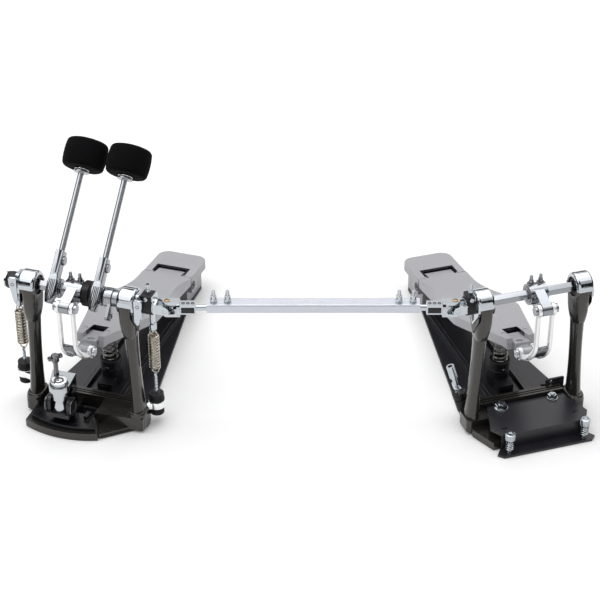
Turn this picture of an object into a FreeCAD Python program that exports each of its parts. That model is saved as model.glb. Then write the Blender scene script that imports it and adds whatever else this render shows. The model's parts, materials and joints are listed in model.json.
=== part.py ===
"""Double bass drum pedal: a primary pedal with two beaters, a slave pedal and the drive bar between them.

Each pedal is drawn in its own frame: x across, y from the drum towards the heel, z up, with the origin on
the floor under the middle of its axle. The two frames are then turned so that the heels come together.
"""
import FreeCAD, Part
import math
import os
import re

import Sketcher
from FreeCAD import Placement, Rotation, Vector

SIZES = {
    "Layout": dict(
        axle_height=195, pedal_spacing=576, pedal_yaw=18, set_x=4.28, set_y=-131.81, primary_reach=34.4,
        slave_reach=24.4, head_spacing=134, foot_spacing=146,
    ),
    "Clearances": dict(
        running_fit=0.05, joint_gap=0.35, shaft_gap=0.6, pivot_slack=1.85, seam_gap=1, overrun=2,
    ),
    "Base plate": dict(
        base_thickness=4, base_ahead=12, base_shoulder=8, base_front_half=80, base_waist_y=285,
        base_waist_half=32, base_rear_y=350, base_rear_half=30, base_corner=8, ridge_inner=24,
        ridge_width=8, ridge_height=6, ridge_start=30, ridge_end=270, ridge_round=2,
    ),
    "Footboard": dict(
        board_slope=13.3, toe_y=22, toe_z=116, board_length=274, board_thickness=13, board_skin=5,
        board_wall=5, pocket_inset=15, toe_half=19.5, board_half=48, board_widest_y=112,
        board_corner=40, seam_half=36.5, slot_half=11, slot_depth=36, tongue_half=20, hinge_back=11,
        hinge_drop=14.8, knuckle_radius=8, hinge_radius=4, pocket_start=88, pocket_end=255,
        rib_width=5, scoop_radius=260, scoop_depth=5, scoop_width=60, scoop_y=228, mark_start=52,
        mark_end=78, mark_width=1, mark_depth=0.5, mark_ring=4,
    ),
    "Heel block": dict(
        heel_length=71, heel_slope=5.2, heel_thickness=13, heel_corner=16, pedestal_half=29,
        pedestal_inset=12, lug_back=16, lug_below=10, notch_gap=3, notch_back=6.5, pin_recess=2,
    ),
    "Slide adjuster": dict(
        pivot_ahead=19, pivot_drop=16, adjuster_drop=6, adjuster_nose=7, adjuster_side_gap=0.3,
        adjuster_back_gap=5, flange_half=17, flange_thickness=5, flange_start=6, flange_back=12,
        eye_half=6.5, eye_radius=7.5, bolt_hole_radius=5, bolt_hole_depth=5, bolt_hole_y=2,
        link_bolt_radius=4, link_bolt_head=6, link_bolt_head_height=3,
    ),
    "Axle and cam": dict(
        axle_flats=12.5, spigot_start=7, spigot_end=17, spigot_radius=5,
        cam_offset=6, cam_radius=14, cam_half=12, arm_forward=31.5, arm_drop=6, cam_eye_radius=8,
        cam_bolt_radius=3.2, cam_bolt_head=2.2, cam_bolt_spread=6.5, cam_bolt_y=3, cam_bolt_foot=10,
        cam_bolt_top=19, cam_bolt_tip=25, slave_grip=7.4,
    ),
    "Link": dict(
        strap_width=5.5, strap_depth=14, strap_bend=17, strap_eye=8.5, foot_eye=9, foot_end=9,
        web_thickness=6, web_height=18,
    ),
    "Beater": dict(
        beater_lean=44, beater_x_left=32, beater_x_right=28.5, shaft_radius=4, shaft_tail=20,
        shaft_offset=13, hub_half=8.5, hub_depth=15, hub_top=46, hub_bottom=24, hub_ring_radius=13,
        hub_slot_width=2.4, hub_slot_depth=5, hub_slot_x=3.4, hub_slot_foot=8, hub_rib_pitch=3.4,
        hub_rib_width=1.4, hub_rib_depth=1.2, hub_rib_top=10, hub_nose=7, hub_bolt_radius=3.5,
        hub_bolt_length=9, head_centre=174, head_radius=29, head_edge_radius=26.5, head_length=40,
        head_edge_round=6, head_bore_depth=32, ferrule_radius=10, ferrule_height=3,
    ),
    "Second hub": dict(
        collar_start=7.5, collar_end=17.5, collar_radius=17, second_grip=10.4, sleeve_start=48,
        sleeve_end=55, sleeve_radius=11, bracket_shift=9.5, bracket_half=9.5, bracket_plate=4,
        bracket_drop=30, bracket_depth=16, bracket_screw=3, bracket_screw_head=2.5,
    ),
    "Posts": dict(
        post_width_foot=19, post_depth_foot=29, post_width_waist=16, post_depth_waist=25,
        post_width_top=20, post_depth_top=30, post_waist_z=135, post_top_z=180, head_radius_post=17,
        head_half=10, bearing_radius=13, bearing_half=8, cap_radius=18.5, cap_round=4, side_plate=3,
        side_plate_half=17, side_plate_tip=31, side_plate_shoulder=8,
    ),
    "Return springs": dict(
        left_spring_out=17.9, right_spring_out=9.9, spring_wire=1.6, spring_radius=5.8, spring_pitch=2.1,
        spring_turns=24, spring_top=135.5, spring_end_rise=5.5, spring_stub=2, rocker_arm=20,
        rocker_angle=22, rocker_pin=2.5, rocker_plate=4.4, rocker_half=9,
        rocker_top=15, rocker_tip=25, rocker_tip_half=3.5, rocker_corner=3.1, rocker_cap=10.5,
        rocker_cap_length=17, rocker_arm_half=5, swivel_half=2, swivel_wall=2.6, swivel_neck=1.8,
        swivel_foot_radius=3.6, swivel_foot_height=5, tension_rod=2.2, tension_eye=4,
        tension_eye_height=5, nut_radius=8.5, nut_height=13, lower_nut_height=11,
        clip_height=11, clip_ring=10.5, clip_arm_half=9,
        left_clip_z=34, right_clip_z=23, rod_tail=3, left_clip_out=9.2, right_clip_out=9.7,
    ),
    "Board coil": dict(
        coil_y=78, coil_radius=9.2, coil_wire=2.6, coil_pitch=7, coil_foot_z=44, coil_top_z=85,
        holder_radius=13.5, holder_foot_half=11, holder_foot_front=27, holder_foot_back=16,
        holder_foot_height=13, holder_round=3,
    ),
    "Primary front": dict(
        casting_height=22, foot_half_x=11.5, foot_half_y=15.5, platform_height=11, platform_left=70,
        platform_left_y=47, platform_front_y=58, platform_mid_x=15, platform_right=33,
        platform_right_y=48, platform_back_right=18, wing_tip_x=84, wing_tip_y=8, wing_height=7,
        wing_serration=4, cross_bar_front=6, cross_bar_back=20, cross_bar_bottom=10, cross_bar_top=30,
        cross_bar_groove=2, pad_height=6, pad_left=64, pad_left_y=41, pad_right=28, pad_back_right=13,
        pad_back_y=20, pad_front_y=44, pad_rib=6, casting_round=6,
    ),
    "Hoop clamp": dict(
        clamp_x=-22, clamp_y=36, clamp_gap=8, jaw_half=16, jaw_depth=26, jaw_floor=6, jaw_height=26,
        jaw_wall=5, jaw_ear=9, stem_radius=8, guide_radius=10.5, guide_height=14, stem_height=24,
        bridge_height=8, bridge_half=14, column_half=11, column_depth=12, beam_left=44, beam_back=8,
        disc_radius=11, disc_height=5, disc_hole=3, key_x=-34, key_y=18, key_radius=3, key_length=32,
        key_bar_half=9, key_bar_radius=3, key_collar=5,
    ),
    "Slave front": dict(
        slave_foot_front=55, slave_front_half=78, slave_toe_half=64, front_plate_x=5, front_plate_z=22,
        front_plate_thickness=3, front_plate_back=5, front_plate_back_half=54, front_plate_half=69,
        front_plate_shoulder=42, front_plate_neck=60, front_plate_bend=57, flange_front=76,
        flange_tip_half=69, flange_corner=7, spur_x=53, spur_y=69, spur_radius=3, spur_head_radius=6.5,
        spur_head_height=9, spur_head_z=24, spur_tip_z=1, plate_nut_x=37, plate_nut_radius=5.5,
        plate_nut_height=4, plate_nut_y=-2, rail_half=9,
    ),
    "Drum key": dict(
        key_holder_x=70, key_holder_y=23, key_holder_radius=8, key_holder_height=38, key_lean=18,
        key_shank=4.6, drum_key_length=64, key_neck=3.4, key_socket=5.4, key_socket_length=18,
        key_square_half=2.8, key_square_depth=9, key_seat_depth=22, key_wing_half=11, key_wing_height=9,
        key_wing_half_depth=3, key_wing_lift=2,
    ),
    "Drive bar": dict(
        tube_width=19, tube_height=12, tube_back=3.5, tube_lift=1, tube_left_gap=49.5,
        tube_right_gap=44, tube_round=1.5, rod_radius=4, rod_inside=70, right_rod_inside=90,
        socket_start=16, socket_end=36, socket_half=6.5, tube_bolt_first=8.8, tube_bolt_pitch=17.7,
        tube_bolt_radius=3.8, tube_bolt_neck=2.3, tube_bolt_collar=4.6, tube_bolt_collar_height=3,
        tube_bolt_shank=6, tube_bolt_height=16,
    ),
    "Cross joints": dict(
        yoke_ear=4, yoke_inner=6.6, yoke_ear_half=6, yoke_back=16, cross_half=5.2, cross_pin=3,
        cross_reach=10.4, clamp_collar_radius=11.6,
        clamp_block_half=8, clamp_block_top=16, clamp_bolt_radius=3.2, clamp_bolt_top=23,
        clamp_bolt_tip=30, clamp_bolt_neck=2.2,
    ),
}

doc = FreeCAD.newDocument("DoublePedal")
sheet = doc.addObject("Spreadsheet::Sheet", "Sizes")
ALIASES = set()
NODES = []


def fill_sheet():
    """Write every size into the sheet, one row each, under its piece's heading."""
    row = 1
    for heading, sizes in SIZES.items():
        sheet.set(f"A{row}", heading)
        row += 1
        for name, value in sizes.items():
            sheet.set(f"A{row}", name)
            sheet.set(f"B{row}", str(value))
            sheet.setAlias(f"B{row}", name)
            ALIASES.add(name)
            row += 1
    doc.recompute()


def size(name):
    """The number that the sheet holds for one size."""
    return float(sheet.get(name))


def bound(text):
    """An expression on the sheet's cells, from one written in plain size names."""
    return re.sub(r"[a-z][a-z_]*", lambda word: refer(word.group()), str(text))


def refer(word):
    return f"Sizes.{word}" if word in ALIASES else word


def bind(item, **expressions):
    """Tie an object's properties to the sheet."""
    for name, text in expressions.items():
        item.setExpression(name, bound(text))
    return item


def put(item, x="0", y="0", z="0"):
    """Tie an object's position to the sheet."""
    for name, text in zip("xyz", (x, y, z)):
        item.setExpression(f".Placement.Base.{name}", bound(text))
    return item


def frame(name, x, y, z, yaw):
    """A frame of reference: a point and a turn about the vertical."""
    item = doc.addObject("App::Placement", name)
    text = f"placement(vector({x}; {y}; {z}); rotation(vector(0; 0; 1); {yaw}))"
    item.setExpression("Placement", bound(text))
    return name


def seat(item, label, where, at=("0", "0", "0"), axis=(1, 0, 0), angle="0"):
    """Make an object a node: give it its name and its place in a frame."""
    spin = "; ".join(str(part) for part in axis)
    x, y, z = at
    local = bound(f"placement(vector({x}; {y}; {z}); rotation(vector({spin}); {angle}))")
    item.setExpression("Placement", f"{where}.Placement * {local}")
    item.Label = label
    NODES.append(item)
    return item


def spread(axis, along, first, second):
    """Put three coordinates in x, y, z order, from one along an axis and the other two."""
    return {"x": (along, first, second), "y": (first, along, second), "z": (first, second, along)}[axis]


TURNS = {"x": Rotation(Vector(0, 1, 0), 90), "y": Rotation(Vector(1, 0, 0), -90), "z": Rotation()}


def rod(axis, radius, start, end, first="0", second="0"):
    """A round bar along an axis."""
    item = doc.addObject("Part::Cylinder", "Rod")
    item.Placement = Placement(Vector(), TURNS[axis])
    bind(item, Radius=radius, Height=f"({end}) - ({start})")
    return put(item, *spread(axis, start, first, second))


def hexbar(axis, flats, start, end):
    """A hexagonal bar on the axle line."""
    item = doc.addObject("Part::Prism", "Hex")
    item.Placement = Placement(Vector(), TURNS[axis])
    item.Polygon = 6
    bind(item, Circumradius=f"({flats}) / sqrt(3)", Height=f"({end}) - ({start})")
    return put(item, *spread(axis, start, "0", "0"))


def block(x, y, z):
    """A box between two values on each axis."""
    item = doc.addObject("Part::Box", "Block")
    lows, highs = zip(x, y, z)
    bind(item,
         **{side: f"({high}) - ({low})" for side, low,
            high in zip(("Length", "Width", "Height"), lows, highs)})
    return put(item, *lows)


def fuse(*items):
    """One solid from several."""
    item = doc.addObject("Part::MultiFuse", "Fuse")
    item.Shapes = list(items)
    item.Refine = True
    return item


def cut(base, *tools):
    """A solid less its cuts."""
    item = doc.addObject("Part::Cut", "Cut")
    item.Base = base
    item.Tool = fuse(*tools) if len(tools) > 1 else tools[0]
    item.Refine = True
    return item


def group(*items):
    """Separate solids of one node."""
    item = doc.addObject("Part::Compound", "Group")
    item.Links = list(items)
    return item


def ring(axis, outer, inner, start, end, first="0", second="0"):
    """A round bar with a bore right through."""
    bore = rod(axis, inner, f"{start} - overrun", f"{end} + overrun", first, second)
    return cut(rod(axis, outer, start, end, first, second), bore)


PLANES = {"x": "YZ_Plane", "y": "XZ_Plane", "z": "XY_Plane"}


def origin_plane(body, role):
    return next(part for part in body.Origin.OriginFeatures if part.Role == role)


def draw(body, axis, points, arcs=()):
    """A closed outline square to an axis. An arc is (index of its first point, point it passes)."""
    sketch = body.newObject("Sketcher::SketchObject", "Outline")
    sketch.AttachmentSupport = [(origin_plane(body, PLANES[axis]), "")]
    sketch.MapMode = "FlatFace"
    through = dict(arcs)
    values = [Vector(measure(u), measure(v), 0) for u, v in points]
    edges = []
    for index, value in enumerate(values):
        after = values[(index + 1) % len(values)]
        if index in through:
            middle = Vector(*(measure(text) for text in through[index]), 0)
            edges.append(sketch.addGeometry(Part.Arc(value, middle, after), False))
        else:
            edges.append(sketch.addGeometry(Part.LineSegment(value, after), False))
    starts = [arc_ends(sketch, edge, value) for edge, value in zip(edges, values)]
    for index, edge in enumerate(edges):
        later = (index + 1) % len(edges)
        ends = (edge, 3 - starts[index], edges[later], starts[later])
        sketch.addConstraint(Sketcher.Constraint("Coincident", *ends))
    for index, point in enumerate(points):
        fix_point(sketch, edges[index], starts[index], point)
    for index, point in through.items():
        middle = Vector(*(measure(text) for text in point), 0)
        mark = sketch.addGeometry(Part.Point(middle), True)
        fix_point(sketch, mark, 1, point)
        sketch.addConstraint(Sketcher.Constraint("PointOnObject", mark, 1, edges[index]))
    return sketch


def arc_ends(sketch, edge, value):
    """1 where a sketch edge starts at a point, 2 where it ends there."""
    near = sketch.getPoint(edge, 1).distanceToPoint(value)
    far = sketch.getPoint(edge, 2).distanceToPoint(value)
    return 1 if near <= far else 2


def fix_point(sketch, edge, end, point):
    """Tie a sketch point's two coordinates to the sheet."""
    for kind, text in zip(("DistanceX", "DistanceY"), point):
        index = sketch.addConstraint(Sketcher.Constraint(kind, -1, 1, edge, end, measure(text)))
        sketch.setExpression(f"Constraints[{index}]", bound(text))


gauge = None


def measure(text):
    """The value of an expression on the sheet."""
    global gauge
    if gauge is None:
        gauge = doc.addObject("App::Placement", "Gauge")
    put(gauge, x=text)
    gauge.recompute()
    return gauge.Placement.Base.x


def plate(axis, points, low, high, arcs=(), corner=None, corners=None):
    """An outline padded along an axis, with some of its corners rounded."""
    body = doc.addObject("PartDesign::Body", "Plate")
    sketch = draw(body, axis, points, arcs)
    lift = f"-({high})" if axis == "y" else low
    sketch.setExpression(".AttachmentOffset.Base.z", bound(lift))
    pad = body.newObject("PartDesign::Pad", "Pad")
    pad.Profile = sketch
    bind(pad, Length=f"({high}) - ({low})")
    if corner:
        doc.recompute()
        chosen = points if corners is None else [points[index] for index in corners]
        spots = [(measure(u), measure(v)) for u, v in chosen]
        fillet = body.newObject("PartDesign::Fillet", "Corners")
        fillet.Base = (pad, edges_at(pad.Shape, axis, spots))
        bind(fillet, Radius=corner)
    return body


def edges_at(shape, axis, spots):
    """Names of the straight edges along an axis that pass through the given points of its plane."""
    names = []
    for number, edge in enumerate(shape.Edges, 1):
        start, end = (tuple(vertex.Point) for vertex in (edge.Vertexes[0], edge.Vertexes[-1]))
        keep = [index for index in range(3) if "xyz"[index] != axis]
        same = all(math.isclose(start[index], end[index], abs_tol=1e-6) for index in keep)
        spot = [start[index] for index in keep]
        if same and any(math.dist(spot, other) < 1e-4 for other in spots):
            names.append(f"Edge{number}")
    return names


def soften(base, radius, pick):
    """Round the edges that a test picks, by a radius from the sheet."""
    doc.recompute()
    amount = size(radius)
    item = doc.addObject("Part::Fillet", "Soft")
    item.Base = base
    item.Edges = [(number, amount, amount) for number, edge in enumerate(base.Shape.Edges, 1) if pick(edge)]
    return item


def loft(*sections):
    """A solid through flat sections."""
    item = doc.addObject("Part::Loft", "Loft")
    item.Sections = list(sections)
    item.Solid = True
    return item


def oval(width, depth, x, z):
    """A flat oval, longer from front to back, at one height."""
    item = doc.addObject("Part::Ellipse", "Oval")
    item.Placement = Placement(Vector(), Rotation(Vector(0, 0, 1), 90))
    bind(item, MajorRadius=f"({depth}) / 2", MinorRadius=f"({width}) / 2")
    return put(item, x=x, z=z)


def hollow_square(x, y, z, half_x, half_z):
    """A flat rectangle square to y, as a section of a loft."""
    item = doc.addObject("Part::Plane", "Section")
    item.Placement = Placement(Vector(), Rotation(Vector(1, 0, 0), 90))
    bind(item, Length=f"2 * ({half_x})", Width=f"2 * ({half_z})")
    return put(item, x=f"({x}) - ({half_x})", y=y, z=f"({z}) - ({half_z})")


def turned(points, arcs=()):
    """A solid turned about the z axis from an outline of radius and height."""
    body = doc.addObject("PartDesign::Body", "Turned")
    sketch = draw(body, "y", points, arcs)
    spin = body.newObject("PartDesign::Revolution", "Spin")
    spin.Profile = sketch
    spin.ReferenceAxis = (sketch, ["V_Axis"])
    spin.Angle = 360
    return body


TOE = ("0", "toe_y", "toe_z")
HINGE_Y = ("(toe_y + (board_length + hinge_back) * cos(board_slope) - hinge_drop * sin(board_slope))")
HINGE_Z = ("(toe_z - (board_length + hinge_back) * sin(board_slope) - hinge_drop * cos(board_slope))")
SEAM_Y = "(toe_y + board_length * cos(board_slope))"
SEAM_Z = "(toe_z - board_length * sin(board_slope))"
TOE_PIVOT_Y = "(toe_y - pivot_ahead * cos(board_slope) - pivot_drop * sin(board_slope))"
TOE_PIVOT_Z = "(toe_z + pivot_ahead * sin(board_slope) - pivot_drop * cos(board_slope))"
STRAP_INNER = "(eye_half + joint_gap)"
STRAP_OUTER = "(eye_half + joint_gap + strap_width)"
HEAD_IN = "(eye_half + 2 * joint_gap + strap_width)"
AXLE_CORNER = "(axle_flats / sqrt(3))"
ROCKER_Y = "(rocker_arm * cos(rocker_angle))"
ROCKER_Z = "(axle_height - rocker_arm * sin(rocker_angle))"
SHAFT_START = "(head_spacing / 2 + head_half + side_plate + shaft_gap)"
ROCKER_FACE = f"({SHAFT_START} + rocker_plate)"
PRIMARY_CLAMP = f"({ROCKER_FACE} + shaft_gap)"
PRIMARY_REACH = f"({PRIMARY_CLAMP} + primary_reach)"
SLAVE_REACH = f"({SHAFT_START} + slave_reach)"
SPRING_X = {"-1": f"(-{SHAFT_START} - left_spring_out)", "1": f"({SHAFT_START} + right_spring_out)"}
SPRING_Y = "(rocker_arm * (1 + cos(rocker_angle)) / 2)"
PLATFORM_TOP = "(platform_height + pad_height)"
KEY_AXIS = (-1, -2, 0)
JAW_Z = "(platform_height + pad_height + clamp_gap)"
BRIDGE_Z = "(platform_height + pad_height + clamp_gap + stem_height + guide_height)"


def half_width_at(y):
    """The footboard's half width at a distance from its toe, behind its widest point."""
    share = f"(({y}) - board_widest_y) / (board_length - board_widest_y)"
    return f"(board_half - (board_half - seam_half) * {share})"


def make_base_plate(where, label):
    points = [
        ("-base_front_half", "-base_ahead"), ("base_front_half", "-base_ahead"),
        ("base_front_half", "base_shoulder"), ("base_waist_half", "base_waist_y"),
        ("base_rear_half", "base_rear_y"), ("-base_rear_half", "base_rear_y"),
        ("-base_waist_half", "base_waist_y"), ("-base_front_half", "base_shoulder"),
    ]
    sheet_part = plate("z", points, "0", "base_thickness", corner="base_corner", corners=(4, 5))
    ridges = []
    for low, high in (("-ridge_inner - ridge_width", "-ridge_inner"),
                      ("ridge_inner", "ridge_inner + ridge_width")):
        points = [(low, "ridge_start"), (high, "ridge_start"), (high, "ridge_end"), (low, "ridge_end")]
        ridges.append(plate("z", points, "0", "base_thickness + ridge_height", corner="ridge_round"))
    seat(fuse(sheet_part, *ridges), label, where)


def make_heel_block(where, label):
    front, top = f"{SEAM_Y} + seam_gap", SEAM_Z
    back = f"{SEAM_Y} + heel_length * cos(heel_slope)"
    back_z = f"{SEAM_Z} - heel_length * sin(heel_slope)"
    side = [(front, top), (back, back_z), (back, f"{back_z} - heel_thickness"),
            (front, f"{top} - heel_thickness")]
    slab = plate("x", side, "-seam_half", "seam_half")
    plan = [("-seam_half", front), ("seam_half", front), ("seam_half", back), ("-seam_half", back)]
    trim = plate("z", plan, "0", top, corner="heel_corner", corners=(2, 3))
    slab_trimmed = doc.addObject("Part::MultiCommon", "Trimmed")
    slab_trimmed.Shapes = [slab, trim]
    lug = block(("-seam_half", "seam_half"), (front, f"{HINGE_Y} + lug_back"),
                (f"{HINGE_Z} - lug_below", f"{top} - heel_thickness / 2"))
    pedestal = block(("-pedestal_half", "pedestal_half"), (front, f"{back} - pedestal_inset"),
                     ("base_thickness", f"{back_z} - heel_thickness / 2"))
    notch = block(("-tongue_half - notch_gap", "tongue_half + notch_gap"),
                  (f"{front} - overrun", f"{HINGE_Y} + knuckle_radius + notch_back"),
                  (f"{HINGE_Z} - knuckle_radius - notch_gap", f"{top} + overrun"))
    bore = rod("x", "hinge_radius + running_fit", "-seam_half - overrun", "seam_half + overrun", HINGE_Y,
               HINGE_Z)
    seat(cut(fuse(slab_trimmed, lug, pedestal), notch, bore), f"{label}_heel_block", where)
    pin = rod("x", "hinge_radius", "-seam_half + pin_recess", "seam_half - pin_recess", HINGE_Y, HINGE_Z)
    seat(group(pin), f"{label}_hinge_pin", where)


def make_footboard(where, label):
    """Drawn flat: y runs from the toe to the seam, z is up from the top face."""
    points = [
        ("-toe_half", "0"), ("toe_half", "0"), ("board_half", "board_widest_y"),
        ("seam_half", "board_length"),
        ("-seam_half", "board_length"), ("-board_half", "board_widest_y"),
    ]
    board = plate("z", points, "-board_thickness", "0", corner="board_corner", corners=(2, 5))
    hinge_y = "board_length + hinge_back"
    web = block(("-tongue_half", "tongue_half"),
                ("board_length - board_thickness", f"{hinge_y} + knuckle_radius"),
                ("-hinge_drop", "0"))
    knuckle = rod("x", "knuckle_radius", "-tongue_half", "tongue_half", hinge_y, "-hinge_drop")
    cuts = [
        rod("x", "hinge_radius + running_fit", "-tongue_half - overrun", "tongue_half + overrun", hinge_y,
            "-hinge_drop"),
        block(("-slot_half", "slot_half"), ("-overrun", "slot_depth"),
              ("-board_thickness - overrun", "overrun")),
        block(("-mark_width / 2", "mark_width / 2"), ("mark_start", "mark_end + mark_width / 2"),
              ("-mark_depth", "overrun")),
        ring("z", "mark_ring + mark_width", "mark_ring", "-mark_depth", "overrun", "0",
             "mark_end + mark_ring + mark_width"),
    ]
    pockets = 3
    step = f"((pocket_end - pocket_start + rib_width) / {pockets})"
    for index in range(pockets):
        near = f"pocket_start + {index} * {step}"
        far = f"{near} + {step} - rib_width"
        for side in ("-", ""):
            edge = [f"{half_width_at(y)} - pocket_inset" if index == 0 else
                    f"{half_width_at(y)} - board_wall - scoop_depth" for y in (near, far)]
            corners = [(f"{side}(rib_width / 2)", near), (f"{side}({edge[0]})", near),
                       (f"{side}({edge[1]})", far), (f"{side}(rib_width / 2)", far)]
            cuts.append(plate("z", corners, "-board_thickness - overrun", "-board_skin"))
    for side, turn in (("", 135), ("-", -135)):
        scoop = doc.addObject("Part::Cylinder", "Scoop")
        scoop.Placement = Placement(Vector(), Rotation(Vector(0, 1, 0), turn))
        bind(scoop, Radius="scoop_radius", Height="scoop_width")
        lift = "(scoop_radius - scoop_depth + scoop_width / 2) / sqrt(2)"
        reach = f"({half_width_at('scoop_y')} + (scoop_radius - scoop_depth - scoop_width / 2) / sqrt(2))"
        cuts.append(put(scoop, f"{side}{reach}", "scoop_y", lift))
    seat(cut(fuse(board, web, knuckle), *cuts), label, where, TOE, angle="-board_slope")


def make_slide_adjuster(where, label):
    """Drawn in the footboard's flat frame, with the toe bolt that carries the link."""
    side = "slot_half - adjuster_side_gap"
    body = block((f"-({side})", side), ("-adjuster_nose", "slot_depth - adjuster_back_gap"),
                 ("-board_thickness", "-adjuster_drop"))
    flange = block(("-flange_half", "flange_half"), ("flange_start", "slot_depth + flange_back"),
                   ("-board_thickness - flange_thickness", "-board_thickness"))
    arm = block(("-eye_half", "eye_half"), ("-pivot_ahead", "flange_start"),
                ("-pivot_drop - eye_radius / 2", "-adjuster_drop - eye_radius / 2"))
    eye = rod("x", "eye_radius", "-eye_half", "eye_half", "-pivot_ahead", "-pivot_drop")
    hole = rod("z", "bolt_hole_radius", "-adjuster_drop - bolt_hole_depth", "overrun", "0", "bolt_hole_y")
    seat(cut(fuse(body, flange, arm, eye, *link_bolt("0", "-pivot_ahead", "-pivot_drop")), hole), label,
         where, TOE,
         angle="-board_slope")


def link_bolt(x, y, z):
    """A bolt across a link eye, with a head at each end."""
    reach = f"({HEAD_IN} + link_bolt_head_height)"
    yield rod("x", "link_bolt_radius", f"{x} - {reach}", f"{x} + {reach}", y, z)
    yield rod("x", "link_bolt_head", f"{x} - {reach}", f"{x} - {HEAD_IN}", y, z)
    yield rod("x", "link_bolt_head", f"{x} + {HEAD_IN}", f"{x} + {reach}", y, z)


def make_cam(where, label, side):
    """Drawn about the axle line, with the bolt that carries the link."""
    x = f"{side} * cam_offset"
    hub = rod("x", "cam_radius", f"{x} - cam_half", f"{x} + cam_half")
    arm_points = [("0", "cam_radius"), ("-arm_forward", "cam_eye_radius - arm_drop"),
                  ("-arm_forward", "-cam_eye_radius - arm_drop"), ("0", "-cam_radius")]
    arm = plate("x", arm_points, f"{x} - eye_half", f"{x} + eye_half")
    eye = rod("x", "cam_eye_radius", f"{x} - eye_half", f"{x} + eye_half", "-arm_forward", "-arm_drop")
    bolts = []
    for offset in ("- cam_bolt_spread", "+ cam_bolt_spread"):
        bolts.append(rod("z", "cam_bolt_radius", "cam_bolt_foot", "cam_bolt_top", f"{x} {offset}",
                         "cam_bolt_y"))
        bolts.append(rod("z", "cam_bolt_head", "cam_bolt_foot", "cam_bolt_tip", f"{x} {offset}",
                         "cam_bolt_y"))
    bore = hexbar("x", "axle_flats + running_fit", f"{x} - cam_half - overrun", f"{x} + cam_half + overrun")
    solid = fuse(cut(fuse(hub, arm, eye, *bolts), bore), *link_bolt(x, "-arm_forward", "-arm_drop"))
    seat(solid, label, where, ("0", "0", "axle_height"))


def make_link(where, label, side):
    """Two J straps joined by a web: they hang from the cam bolt and bend back to the toe bolt."""
    top = f"{side} * cam_offset"
    y, z = "-arm_forward", "(axle_height - arm_drop)"
    half = "strap_depth / 2"
    solids, bores = [], []
    for hand in ("-1", "1"):
        inner, outer = f"{hand} * {STRAP_INNER}", f"{hand} * {STRAP_OUTER}"
        low, high = (outer, inner) if hand == "-1" else (inner, outer)
        bend_y, bend_z = f"({y} + strap_bend)", f"({TOE_PIVOT_Z} + strap_bend)"
        points = [
            (f"{y} - {half}", z), (f"{y} - {half}", bend_z), (bend_y, f"{TOE_PIVOT_Z} - {half}"),
            (bend_y, f"{TOE_PIVOT_Z} + {half}"), (f"{y} + {half}", bend_z), (f"{y} + {half}", z),
        ]
        outer_bow, inner_bow = f"(strap_bend + {half}) / sqrt(2)", f"(strap_bend - {half}) / sqrt(2)"
        bows = [(1, (f"{bend_y} - {outer_bow}", f"{bend_z} - {outer_bow}")),
                (3, (f"{bend_y} - {inner_bow}", f"{bend_z} - {inner_bow}"))]
        solids.append(plate("x", points, f"{top} + {low}", f"{top} + {high}", arcs=bows))
        solids.append(rod("x", "strap_eye", f"{top} + {low}", f"{top} + {high}", y, z))
        middle = f"({low} + {high}) / 2"
        solids.append(loft(
            hollow_square(f"{top} + {middle}", bend_y, TOE_PIVOT_Z, "strap_width / 2", half),
            hollow_square(middle, f"{TOE_PIVOT_Y} - foot_end", TOE_PIVOT_Z, "strap_width / 2", half),
        ))
        solids.append(block((low, high), (f"{TOE_PIVOT_Y} - foot_end", TOE_PIVOT_Y),
                            (f"{TOE_PIVOT_Z} - {half}", f"{TOE_PIVOT_Z} + {half}")))
        solids.append(rod("x", "foot_eye", low, high, TOE_PIVOT_Y, TOE_PIVOT_Z))
    web_z = f"{TOE_PIVOT_Z} + {half}"
    solids.append(block((f"{top} - {STRAP_OUTER}", f"{top} + {STRAP_OUTER}"),
                        (f"{y} - {half}", f"{y} - {half} + web_thickness"),
                        (web_z, f"{web_z} + web_height")))
    reach = f"({STRAP_OUTER} + cam_offset + overrun)"
    bores.append(rod("x", "link_bolt_radius + running_fit", f"-{reach}", reach, y, z))
    bores.append(rod("x", "link_bolt_radius + pivot_slack", f"-{reach}", reach, TOE_PIVOT_Y, TOE_PIVOT_Z))
    seat(cut(fuse(*solids), *bores), label, where)


def make_axles():
    lift = ("0", "0", "axle_height")
    bar = hexbar("x", "axle_flats", f"-{ROCKER_FACE} - rocker_cap_length", "spigot_start")
    spigot = rod("x", "spigot_radius", "spigot_start", "spigot_end")
    seat(fuse(bar, spigot), "primary_axle", PRIMARY, lift)
    bar = hexbar("x", "axle_flats", "collar_end", f"{PRIMARY_CLAMP} + second_grip")
    sleeve = rod("x", "sleeve_radius", "sleeve_start", "sleeve_end")
    seat(fuse(bar, sleeve), "second_shaft", PRIMARY, lift)
    bar = hexbar("x", "axle_flats", f"-{SHAFT_START} - slave_grip", SHAFT_START)
    seat(group(bar), "slave_axle", SLAVE, lift)
    collar = ring("x", "collar_radius", "spigot_radius + running_fit", "collar_start", "collar_end")
    seat(collar, "hub_collar", PRIMARY, lift)


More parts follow.
